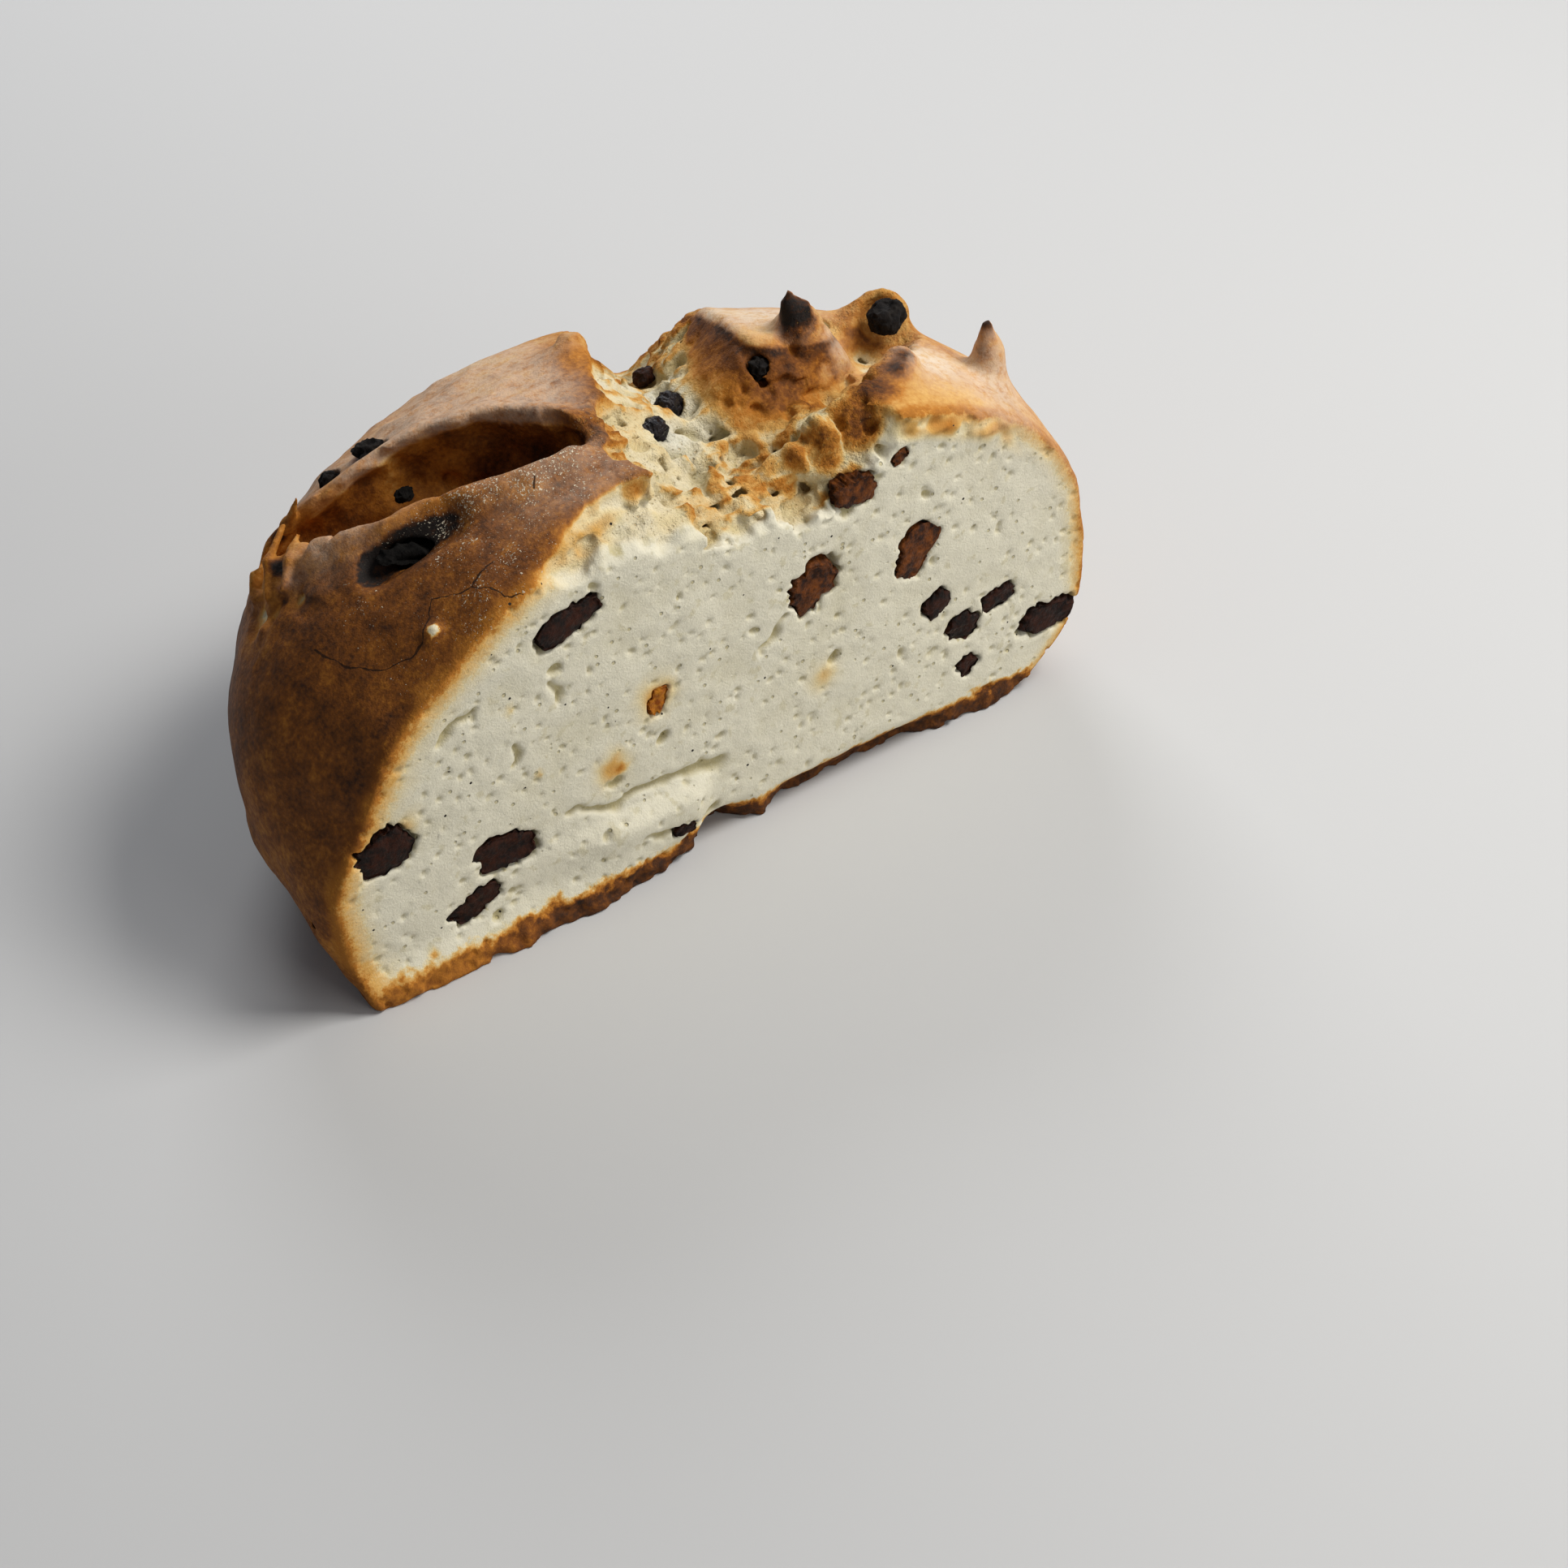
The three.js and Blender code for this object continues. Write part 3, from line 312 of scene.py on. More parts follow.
# Round pores of random size, one or none in each cell: depth below the face
def pores(x, z, cell, largest, share, seed):
    depth = np.zeros(np.shape(x))
    cx, cz = np.floor(x / cell), np.floor(z / cell)
    for dx in (-1, 0, 1):
        for dz in (-1, 0, 1):
            ix, iz = cx + dx, cz + dz
            random = [noise(ix + 0.0, iz + 0.0, np.full(np.shape(ix), k + 0.0), seed) for k in range(5)]
            px = (ix + 0.5 + 0.45 * random[0]) * cell
            pz = (iz + 0.5 + 0.45 * random[1]) * cell
            size = largest * (0.35 + 0.65 * (0.5 + 0.5 * random[2]) ** 2)
            turn = random[3] * 1.2 + 0.5
            u = (x - px) * np.cos(turn) + (z - pz) * np.sin(turn)
            v = (z - pz) * np.cos(turn) - (x - px) * np.sin(turn)
            d = np.sqrt((u / 1.5) ** 2 + v * v) / size
            there = random[4] < 2 * share - 1
            depth = np.maximum(depth, np.where(there, size * 1.3 * np.sqrt(np.clip(1 - d * d, 0, 1)), 0))
    return depth


# Long splits in the crumb: x, z and half width along each
SPLITS = [
    [(-36.3, 23.9, 0.3), (-31, 21.2, 0.5), (-26.1, 19.6, 0.6), (-21.7, 20.7, 0.5), (-13.5, 20, 0.6),
     (-7.1, 19.6, 0.8), (-3.3, 18.2, 1.4)],
    [(-21.5, 10.7, 0.4), (-15, 8.8, 0.6), (-9.9, 6.6, 0.8), (-4.7, 8.1, 0.9)],
    [(-38.2, 54.6, 0.3), (-36.4, 52.3, 0.7), (-36.8, 49.4, 0.3)],
    [(-46, 44.2, 0.3), (-45.3, 42, 0.6), (-46.6, 39.6, 0.3)],
    [(6, 40.5, 0.3), (9.2, 42.6, 0.6), (11.6, 45.6, 0.4)],
    [(-60.5, 52.5, 0.4), (-56.5, 55, 0.6), (-53.4, 56, 0.3)],
]


def split_depth(x, z):
    depth = np.zeros(np.shape(x))
    wander = 0.8 * noise(x / 2.6, z / 2.6, 0.0 * x, 55)
    for line in SPLITS:
        for (ax, az, ar), (bx, bz, br) in zip(line, line[1:]):
            ex, ez = bx - ax, bz - az
            t = np.clip(((x - ax) * ex + (z - az) * ez) / (ex * ex + ez * ez), 0, 1)
            across = np.hypot(x - ax - ex * t, z - az - ez * t + wander) / (ar + (br - ar) * t + 0.35)
            depth = np.maximum(depth, 1.5 * np.clip(1.2 - across, 0, 1))
    return depth


# The cut face's fine relief: pores, splits, crumbly grain and the drag of the knife
def crumb_relief(x, z):
    big = pores(x, z, 8.8, 1.3, 0.36, 51)
    small = pores(x, z, 2.7, 0.62, 0.6, 52)
    flat = 0.0 * x
    grain = 0.06 * mottling(x, z, flat, 1.3, 53) + 0.1 * mottling(x, z, flat, 2.9, 56)
    grain = grain + 0.2 * mottling(x, z, flat, 8, 54)
    rough = 0.8 * noise(x / 3.4, z / 2.4, flat, 57) + 0.5 * noise(x / 1.6, z / 1.4, flat, 58)
    grain = grain + rough * np.maximum(ramp(6, 1, z), 0.9 * tufted(x, z))
    sunk = np.maximum(split_depth(x, z), raisin_pockets(x, z))
    return grain - np.maximum(np.maximum(big, small), sunk)


# The ragged tufts along the cut edge under the front right peak: 1 on the strip and 0 beside it
def tufted(x, z):
    inside = -body_distance(x, CUT_Y + 0.0 * x, z)
    return ramp(6.5, 3, inside) * ramp(33, 39, x) * ramp(67, 60, x) * ramp(50, 58, z)


# The pocket that each cut raisin sits in, a little wider than the raisin
def raisin_pockets(x, z):
    depth = np.zeros(np.shape(x))
    for raisin in RAISINS:
        if raisin.in_face:
            depth = np.maximum(depth, 2.6 * ramp(1.1, 0.96, raisin.outline(x, z)))
    return depth


class Grid:
    """Sample lines over the loaf's box, and the plan maps that go with them."""

    def __init__(self, low, high, step):
        self.low = np.array(low, float)
        self.step = step
        self.size = [int(math.ceil((h - l) / step)) + 1 for l, h in zip(low, high)]
        self.lines = [self.low[k] + np.arange(self.size[k]) * step for k in range(3)]
        px, py = np.meshgrid(self.lines[0], self.lines[1], indexing="ij")
        self.tear = tear_distance(px, py)
        self.floor = tear_floor(px, py)
        fx, fz = np.meshgrid(self.lines[0], self.lines[2], indexing="ij")
        self.face = CUT_Y - face_relief(fx, fz) - crumb_relief(fx, fz)

    def field(self, i, j, k):
        x, y, z = self.lines[0][i], self.lines[1][j], self.lines[2][k]
        value = loaf_field(x, y, z, self.tear[i, j], self.floor[i, j])
        value = np.maximum(value, self.face[i, k] - y)
        return np.maximum(value, -z)


def loaf_field(x, y, z, tear, floor):
    field = body_distance(x, y, z) - crust_relief(x, y, z)
    top = np.nonzero((z >= TOP_START) & (np.abs(field) < 40))[0]
    field[top] = top_field(x[top], y[top], z[top], tear[top], floor[top], field[top])
    for raisin in RAISINS:
        near = near_point(x, y, z, raisin.middle, raisin.half[0] + 4)
        if near.size:
            sunk = -raisin.distance(x[near], y[near], z[near]) - raisin.gap
            field[near] = soft_max(field[near], sunk, 0.6)
    return field


# Blisters and wrinkles of the baked crust
def crust_relief(x, y, z):
    relief = 0.22 * mottling(x, y, z, 6.5, 41) + 0.1 * mottling(x, y, z, 2.6, 42)
    wrinkled = ramp(4, 16, y) * ramp(-4, -14, x) * ramp(50, 62, z)
    ridge = ramp(-62, -40, x) * ramp(-10, -16, x) * ramp(68, 76, z) * ramp(10, 2, y)
    wrinkled = np.maximum(wrinkled, 0.45 * ridge)
    folds = web(x / 13, y / 6, z / 9, 43) + 0.5 * web(x / 6, y / 3.4, z / 5, 44)
    relief += wrinkled * 0.55 * (folds - 0.9)
    rough_base = ramp(9, 1, z)
    relief += rough_base * 0.9 * noise(x / 4.2, y / 4.2, z / 3, 45)
    return relief


# Holes of two sizes between the torn strands, few and small on the banks beside the left lobes
def torn_holes(x, y, z):
    bank = np.maximum(ramp(-5, -9, x), ramp(6, 0, x) * ramp(8, 16, y))
    large = 2.6 * ramp(0.2, 0.6, noise(x / 3.8, y / 3.4, z / 3.4, 26)) * (1 - 0.85 * bank)
    return large + 1.3 * ramp(0.22, 0.6, mottling(x, y, z, 1.9, 27)) * (1 - 0.4 * bank)


# Thick and thin strands pulled across the tear
def torn_strands(x, y, z):
    return web(x / 7.5, y / 5, z / 4.5, 23), web(x / 3.4, y / 2.6, z / 2.4, 24)


def top_field(x, y, z, tear, floor, field):
    from_dip = np.hypot(x - CREST_DIP[0], y - CREST_DIP[1]) / CREST_DIP[2]
    field = field + CREST_DIP[3] * np.exp(-from_dip * from_dip)
    near_gash = np.nonzero((x < -2) & (x > -80) & (y > -16) & (y < 50))[0]
    gx, gy, gz = x[near_gash], y[near_gash], z[near_gash]
    uneven = 0.5 * mottling(gx, gy, gz, 5, 34) + 0.3 * mottling(gx, gy, gz, 2, 35)
    local = soft_min(field[near_gash], chain_distance(gx, gy, gz, FRONT_LIP) + uneven, 4)
    field[near_gash] = soft_min(local, chain_distance(gx, gy, gz, BACK_LIP), 4)

    ragged = 1.5 * mottling(x, y, z, 8, 21) + 0.9 * mottling(x, y, z, 4.5, 22)
    thick, thin = torn_strands(x, y, z)
    strands = 1.5 * (thick - 0.6) + 0.7 * (thin - 0.6)
    holes = torn_holes(x, y, z)
    smooth_wall = ramp(12, 17, x) * ramp(-5, 3, y) * ramp(68, 71, z)
    knobbly = 0.5 * mottling(x, y, z, 1.9, 36)
    rough = (ragged + strands + knobbly - holes + 0.5) * (1 - 0.8 * smooth_wall)
    open_tear = soft_max((floor - z) * 0.8, tear * 0.9, 2.5) + rough * ramp(3, -4, tear)
    field = soft_max(field, -open_tear, 1.5)
    branch = chain_distance(x, y, z, BRANCH)
    field = soft_max(field, -branch - ragged * 0.7 - strands * 0.45 + holes * 0.8, 3)

    hollow = gash_distance(gx, gy, gz)
    grain = 0.4 * mottling(gx, gy, gz, 3.2, 25) + 0.45 * mottling(gx, gy, gz, 6.5, 28)
    dents = 1.3 * ramp(0.3, 0.7, mottling(gx, gy, gz, 4.2, 29))
    field[near_gash] = soft_max(field[near_gash], -hollow + grain + dents, 1.2)
    frayed = np.exp(-(((gx + 66) / 7) ** 2 + ((gy - 25) / 11) ** 2 + ((gz - 61) / 8) ** 2))
    threads = 1.5 * (web(gx / 9, gy / 4, gz / 5, 30) - 0.5)
    slots = 3.2 * ramp(0.18, 0.5, noise(gx / 6, gy / 3.6, gz / 4, 31))
    frayed_field = field[near_gash] + frayed * (slots - threads)
    for strand in FRAYS:
        frayed_field = soft_min(frayed_field, rod_distance(gx, gy, gz, *strand), 1.2)
    for slot in SLOTS:
        frayed_field = soft_max(frayed_field, -rod_distance(gx, gy, gz, *slot), 0.8)
    field[near_gash] = frayed_field

    for foot, tip, wide, thin in PEAKS.values():
        near = near_point(x, y, z, [(a + b) / 2 for a, b in zip(foot, tip)], PEAK_REACH)
        nx, ny, nz = x[near], y[near], z[near]
        d = rod_distance(nx, ny, nz, foot, tip, wide, thin)
        crag = 0.75 * web(nx / 5.5, ny / 5.5, nz / 5.5, 32) - 0.8
        crag = crag + 0.5 * web(nx / 2.4, ny / 2.4, nz / 2.4, 33)
        low_crags = 1.2 * ramp(68, 71, nz) * ramp(37, 33, nx) * ramp(8, 12, nx)
        craggy = np.maximum(ramp(74, 78, nz + 0.4 * (wide - 4)), low_crags)
        joined = soft_min(field[near], d + 0.3 * ragged[near] - 0.9 * crag * craggy, 3)
        field[near] = np.where(d < 12, joined, field[near])
    for foot, tip, wide, thin in PITS.values():
        field = soft_max(field, -rod_distance(x, y, z, foot, tip, wide, thin), 2.5)
    return field


# How far the crumb stays behind the raisins' solids, so that it doesn't cover them
IN_FACE_GAP = 0.9
BURNT_GAP = 0.6
LOOSE_GAP = 0.2
BURNT_RAISINS = ("raisin_19", "raisin_20", "raisin_21", "raisin_22", "raisin_23", "raisin_24")


class Raisin:
    """The middle, axes and half lengths of a CAD raisin, read from its own node."""

    def __init__(self, name):
        self.name = name
        self.points = np.array([v.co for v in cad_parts[name].data.vertices], float) / MM
        self.middle = self.points.mean(0)
        _, spread, self.axes = np.linalg.svd(self.points - self.middle, full_matrices=False)
        self.half = spread / math.sqrt(len(self.points) / 3)
        self.in_face = self.middle[1] < CUT_Y + 3.2
        self.burnt = name in BURNT_RAISINS
        self.gap = IN_FACE_GAP if self.in_face else BURNT_GAP if self.burnt else LOOSE_GAP
        flat = (self.points - self.middle)[:, [0, 2]]
        _, spread, self.flat_axes = np.linalg.svd(flat, full_matrices=False)
        self.flat_half = spread * math.sqrt(3 / len(self.points))
        self.seed = 70 + 9 * len(name) + int(name[-2:])

    # Places along and across the raisin as it is seen square to the cut, in half lengths
    def flat_place(self, x, z):
        offset = np.stack([x - self.middle[0], z - self.middle[2]], -1)
        return offset @ self.flat_axes.T / self.flat_half

    # How far the raisin's edge strays from an ellipse, as a share, in each direction round it
    def ragged(self, x, z):
        angle = np.arctan2(z - self.middle[2], x - self.middle[0])
        c, s, flat = np.cos(angle), np.sin(angle), 0.0 * x
        place = np.abs(self.flat_place(x, z)) + 1e-6
        stray = np.sqrt((place ** 2).sum(-1)) / (place ** 3).sum(-1) ** (1 / 3) - 1
        for turns, share, seed in ((1.1, 0.18, 0), (2.7, 0.15, 40), (6, 0.16, 80)):
            stray = stray + share * noise(turns * c, turns * s, flat, self.seed + seed)
        return 0.98 + stray

    # 1 on the raisin's outline seen square to the cut, less inside and more outside
    def outline(self, x, z):
        level = np.sqrt((self.flat_place(x, z) ** 2).sum(-1))
        return level / self.ragged(x, z)

    def distance(self, x, y, z):
        offset = np.stack([x, y, z], -1) - self.middle
        scaled = offset @ self.axes.T / (self.half + 0.25)
        level = np.sqrt((scaled ** 2).sum(-1))
        return (level - 1) * self.half.min()


RAISINS = [Raisin(name) for name in sorted(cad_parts) if name.startswith("raisin")]


# Coarse samples repeated to the fine grid's size, each one round its own place
def spread_out(samples, block, size):
    fine = samples.repeat(block, 0).repeat(block, 1).repeat(block, 2)
    fine = np.roll(fine, [-(block // 2)] * 3, (0, 1, 2))
    return fine[: size[0], : size[1], : size[2]]


# The loaf's surface: a coarse pass finds where it runs, and a fine one samples it there
def loaf_surface():
    low, high = (-92, -28, -3), (92, 73, 93)
    grid = Grid(low, high, GRID)
    block = 4
    starts = [np.arange(0, n, block) for n in grid.size]
    ci, cj, ck = np.meshgrid(*starts, indexing="ij")
    coarse = grid.field(ci.ravel(), cj.ravel(), ck.ravel()).reshape(ci.shape)
    close = np.abs(coarse) < 1.3 * block * GRID + 1.6
    values = np.clip(spread_out(coarse, block, grid.size), -FAR, FAR)
    i, j, k = np.nonzero(spread_out(close, block, grid.size))
    values[i, j, k] = np.clip(grid.field(i, j, k), -FAR, FAR)
    values[0] = values[-1] = values[:, 0] = values[:, -1] = values[:, :, 0] = values[:, :, -1] = FAR
    volume = openvdb.FloatGrid(background=float(FAR))
    volume.copyFromArray((values / GRID).astype(np.float32))
    points, _, quads = volume.convertToPolygons(isovalue=0.0, adaptivity=0.0)
    return points * GRID + grid.low, quads


# Named places that brown, burn or stay pale as they bake, with a few darkened as painted shade: x, y, z,
# reach and strength
BROWNED = {
    "back cone": (36.3, 12, 84.5, 5.5, 1.12),
    "cone's left side": (35, 10.5, 81.5, 5, 0.82),
    "cone's foot": (35.5, 7.6, 77.8, 4.2, 0.78),
    "wall's right end": (30.5, 2.4, 74.5, 3.8, 0.72),
    "wall's middle": (26, 6, 75, 5.5, 0.7),
    "front right peak": (43.5, -7.6, 80.6, 4.8, 0.86),
    "peak's side": (38, -10.6, 79.8, 6.4, 0.88),
    "peak's foot": (32, -12.4, 76.4, 6.0, 0.7),
    "peak tip": (46.6, -6, 80.9, 5.2, 0.8),
    "middle crag": (25.3, -12, 75.3, 5.4, 0.58),
    "crag's foot": (24.5, -13.5, 71.5, 4, 0.52),
    "left crag": (19.5, -11.5, 73.5, 4.8, 0.53),
    "left crag's end": (14.6, -9.2, 72, 4, 0.47),
    "right crag": (31, -12.4, 75.4, 4.5, 0.58),
    "spike tip": (68, -4, 79, 5, 1.0),
    "spike's left side": (65.5, -6, 74, 4, 0.62),
    "ear": (60, 12, 76, 6, 0.5),
    "ear flap": (55, 14, 79, 5, 0.6),
    "ridge end": (-12.5, -8, 80.5, 4, 0.7),
    "ridge end's cliff": (-14.5, -11.3, 80.2, 3, 0.56),
    "slash end": (-14, 3, 78, 5, 0.5),
    "knob": (-8.5, -15, 71, 2.6, 0.42),
    "knob by the floor": (-3, -9, 70, 2.4, 0.4),
    "raisin's hollow": (21, -17, 67, 3.2, 0.72),
    "left strands": (-66, 24, 63, 7, 0.46),
    "strip's orange patch": (53, -18.6, 68.8, 2.2, 0.42),
    "strip's right patch": (60, -18, 64.6, 2.4, 0.42),
}
BURNT_AND_SHADED = {
    "ear pocket": (55, 9.4, 75.5, 5.4, 1.5),
    "painted shadow under the slash's right end": (-18.5, 9, 73, 5.0, 1.0),
    # Painted shadow under the lip at the slash's right end
    "slash's dark spot": (-44, 26, 70, 2.2, 1.1),
    # Painted shade: the slots between the frayed strands darkened to near black
    "painted shade in the frayed slots": (-65.4, 24.4, 64.4, 2.4, 1.1),
    "painted shade in the upper frayed slot": (-60, 35, 62.6, 2.4, 1.2),
    "painted shade in the lower frayed slot": (-68.6, 18, 62.8, 1.8, 1.0),
    "back left raisins": (-41, 35, 71, 6, 0.95),
    "below them": (-47, 38, 66, 4.5, 0.9),
}
FLOURED = {
    "crest": (37, 25, 78, 11, 0.9),
    "crest's left end": (31, 33, 75, 8, 0.8),
    "slope beside the cone": (44, 8, 76, 5, 0.85),
    "slope below it": (49, 3, 75, 5, 0.7),
    "behind the front right peak": (56, -3, 75, 9, 0.95),
    "right crust": (64, -9, 67, 11, 0.75),
    "right end": (76, -8, 52, 14, 0.3),
}
PALE = {
    "recess beside the wall": (37.5, 2, 73.4, 4.5, 1.5),
    "branch floor": (46, 6, 72, 8, 1.3),
    "left of the wall": (15, 25, 69.5, 7, 0.8),
    "strand across the floor": (7, 7.5, 70.5, 6, 0.6),
    "slope of the back left lobe": (-3, 20, 77, 10, 0.8),
}
COLOUR_SPOTS = {
    "golden spot": (-26.6, 28.9, 2.9, 0.38),
    "its dark middle": (-24.9, 28.2, 1.4, 0.6),
    "its upper tail": (-25.9, 31.4, 1.6, 0.3),
    "halo of the small raisin": (-16.9, 40.8, 3.2, 0.42),
    "upper speck": (-46.6, 52.6, 0.7, 0.42),
    "middle speck": (-41.6, 35.4, 0.7, 0.42),
    "low speck": (-66.2, 6.2, 0.8, 0.45),
    "yellow patch": (20.2, 27.6, 2.6, 0.25),
    "halo above the first raisin": (-68.5, 37.6, 2.4, 0.25),
}


def blobs(x, y, z, places):
    strongest = np.zeros(np.shape(x))
    for px, py, pz, reach, strength in places.values():
        far = ((x - px) ** 2 + (y - py) ** 2 + (z - pz) ** 2) / (reach * reach)
        strongest = np.maximum(strongest, strength * np.exp(-far))
    return strongest


# How baked, floured and torn the bread is at each surface point, and how deep below the crust it lies; some
# of the bake is painted shade and light, noted where it is added
def looks_at(points, normals):
    x, y, z = points.T
    dip = CREST_DIP[3] * np.exp(-((x - CREST_DIP[0]) ** 2 + (y - CREST_DIP[1]) ** 2) / CREST_DIP[2] ** 2)
    depth = -(body_distance(x, y, z) - crust_relief(x, y, z) + dip)
    for foot, tip, wide, thin in PITS.values():
        depth = np.minimum(depth, 4 * np.abs(rod_distance(x, y, z, foot, tip, wide, thin)))
    depth = np.clip(depth, 0, 9)
    tear = tear_distance(x, y)
    in_tear = ramp(1.5, -2, tear) * ramp(TOP_START, TOP_START + 8, z)
    in_tear = np.maximum(in_tear, ramp(2.5, 0.5, chain_distance(x, y, z, BRANCH)))
    in_gash = ramp(2.2, 0.6, gash_distance(x, y, z)) * ramp(0.4, 1.6, depth)
    face = ramp(3.0, 1.4, y - CUT_Y + face_relief(x, z))
    bank = in_tear * ramp(-5, -8, x) * ramp(-2, -6, y)

    patches = mottling(x, y, z, 17, 61)
    mottle = mottling(x, y, z, 5, 62)
    lobe = ramp(-14, 22, x + 0.35 * y)
    crust = 0.7 - 0.28 * lobe + 0.06 * patches + 0.05 * mottle
    # Darker on the lower left, and paler along the far left edge, where the paleness is a painted highlight
    # along that side
    crust += 0.1 * ramp(-50, -72, x) * ramp(60, 40, z) - 0.12 * ramp(-74, -86, x)
    crust -= 0.18 * ramp(3.2, 0.2, y - CUT_Y + 1.5 * mottle) * ramp(10, -20, x) * ramp(6, 14, z)
    crust -= 0.14 * ramp(8, 24, y) * ramp(-4, -16, x) * ramp(48, 66, z)
    # Crust near the bottom drawn to one bake level: partly the bottom crust's own brown, partly painted shade
    # where the loaf meets the floor
    crust += (0.6 - crust) * ramp(10, 2, z)
    crust += 0.1 * ramp(24, 44, y) * ramp(70, 40, z)
    crust -= 0.1 * ramp(2.4, 0.8, np.abs(chain_distance(x, y, z, FRONT_LIP))) * ramp(-20, -30, x)

    ragged = mottling(x, y, z, 4.5, 22)
    thick, thin = torn_strands(x, y, z)
    holes = torn_holes(x, y, z) / 2.6
    ridge = np.clip(thick, 0, 1) * 0.6 + np.clip(thin, 0, 1) * 0.4
    torn = 0.12 + 0.34 * ramp(0.42, 0.92, ridge) * ramp(0.5, 0.1, holes)
    torn = torn + 0.09 * patches + 0.07 * mottling(x, y, z, 9, 64) + 0.05 * ragged
    wall = ramp(13, 20, x) * ramp(-4, 4, y) * ramp(68, 72, z) * ramp(1, -2, tear)
    upper = ramp(17, 26, x + 0.8 * (z - 74))
    torn = torn + (0.46 + 0.22 * upper + 0.08 * ramp(74, 80, z) + 0.04 * mottle - torn) * wall
    torn = torn + 0.16 * ramp(4.5, 1.2, depth) * wall
    torn = torn + 0.3 * ramp(5.5, 0.5, depth) * ramp(-4, -1, -tear) * (1 - wall)
    torn = torn - 0.22 * blobs(x, y, z, PALE)
    # Inside of the gash, darker towards its right end as painted shadow under the lip there
    gash = 0.64 + 0.06 * patches + 0.1 * mottle + 0.1 * ramp(-30, -20, x)

    skin = ramp(1.9, 0.6, depth + 0.5 * ragged)
    bake = torn * in_tear
    bake = bake + (gash - bake) * in_gash
    bake = bake + (crust - bake) * skin * (1 - in_gash)

    spots = np.zeros(len(x))
    for px, pz, reach, strength in COLOUR_SPOTS.values():
        uneven = 1 + 0.35 * mottling(x, y, z, 1.6, 63)
        far = ((x - px) ** 2 + (z - pz) ** 2) / (reach * reach) * uneven
        spots = np.maximum(spots, strength * np.exp(-far))
    tufts = tufted(x, z) * (0.3 + 0.26 * noise(x / 2.8, z / 2.8, 0 * x, 65))
    spots = np.maximum(spots, tufts) * face
    toasted = 0.1 + 0.26 * ramp(7.5, 2, depth + 1.6 * mottling(x, y, z, 2.2, 66)) + 0.05 * mottle
    spots = np.maximum(spots, toasted * bank * (1 - face))

    browned = 1.05 * blobs(x, y, z, BROWNED) * (1 + 0.18 * ragged)
    # Sides that face right (+x) brown less: partly the crust's own colour, partly painted light on the sides
    # that face the key lamp
    browned = browned * (1 - 0.4 * ramp(0.3, 0.8, normals[:, 0]))
    bake = np.maximum(bake, browned * ramp(0, 0.5, browned))
    # Burnt places, and the places darkened as painted shade at the slash's right end and in the frayed slots
    singed_and_shaded = blobs(x, y, z, BURNT_AND_SHADED) * (1 + 0.2 * mottle + 0.12 * ragged)
    patch = rod_distance(x, y, z, (-55.5, 7, 70.5), (-41.6, 4, 76.2), 3.4, 2.2) + 1.3 * mottle + 0.6 * ragged
    singed_and_shaded = np.maximum(singed_and_shaded, 1.1 * ramp(1.1, -0.5, patch))
    bake = np.minimum(np.maximum(bake, singed_and_shaded), 1)

    drift = 9 * patches + 4 * mottle
    back_left = ramp(6, 18, y) * ramp(4, -12, x + drift) * ramp(-64, -46, x + drift)
    floured = 0.5 * back_left * ramp(46, 70, z + drift)
    floured = np.maximum(floured, blobs(x, y, z, FLOURED))
    ridge_dust = 0.2 * ramp(-46, -22, x) * ramp(-14, -8, y) * ramp(8, 2, y) * ramp(-8, -16, x)
    floured = np.maximum(floured, ridge_dust)
    flour = floured * np.maximum(skin, 0.6 * ramp(38, 42, x)) * (1 - in_gash) * ramp(0.85, 0.65, bake)
    specks = ramp(-74, -30, x) * ramp(16, 2, y) * ramp(50, 74, z) * ramp(-8, -15, x) * skin
    specks = specks * (0.5 + 0.5 * ramp(2.2, 0.5, chain_distance(x, y, z, FRONT_LIP)))
    fallen = ramp(1.2, 0.9, np.sqrt((x + 56) ** 2 + (y + 12) ** 2 + (z - 70.5) ** 2))
    bake = bake * (1 - fallen) + 0.06 * fallen
    # Depth of the pores, the raisins' pockets and the torn holes, which the material tints darker olive as
    # painted shade in these hollows
    pore = np.clip(-crumb_relief(x, z) / 1.2, 0, 1) * face + 0.8 * np.clip(holes, 0, 1) * in_tear * (1 - face)
    return {
        "bake": bake, "crust": np.maximum(crust, 0.56), "depth": depth * (1 - 0.35 * ramp(-10, -35, x)),
        "raw": np.maximum(face, bank), "face": face,
        "torn": in_tear * (1 - 0.8 * wall), "base_crust_and_shade": 0.58 + 0.26 * ramp(-66, -34, x),
        "flour": flour, "specks": specks, "spots": spots, "pore": pore * (1 - skin * (1 - face)),
    }


def new_object(name, data):
    made = bpy.data.objects.new(name, data)
    bpy.context.scene.collection.objects.link(made)
    return made


def mesh_object(name, points, faces):
    mesh = bpy.data.meshes.new(name)
    mesh.from_pydata(points.tolist(), [], faces.tolist())
    mesh.update()
    return new_object(name, mesh)


def apply_modifiers(piece):
    graph = bpy.context.evaluated_depsgraph_get()
    settled = bpy.data.meshes.new_from_object(piece.evaluated_get(graph))
    piece.modifiers.clear()
    piece.data = settled
    return settled


def keep_largest_shell(points, faces):
    parent = np.arange(len(points))
    while True:
        low = parent[faces].min(1)
        updated = parent.copy()
        for column in range(faces.shape[1]):
            np.minimum.at(updated, faces[:, column], low)
        updated = updated[updated]
        if (updated == parent).all():
            break
        parent = updated
    labels, counts = np.unique(parent, return_counts=True)
    kept = parent == labels[counts.argmax()]
    number = np.cumsum(kept) - 1
    return points[kept], number[faces[kept[faces[:, 0]]]]


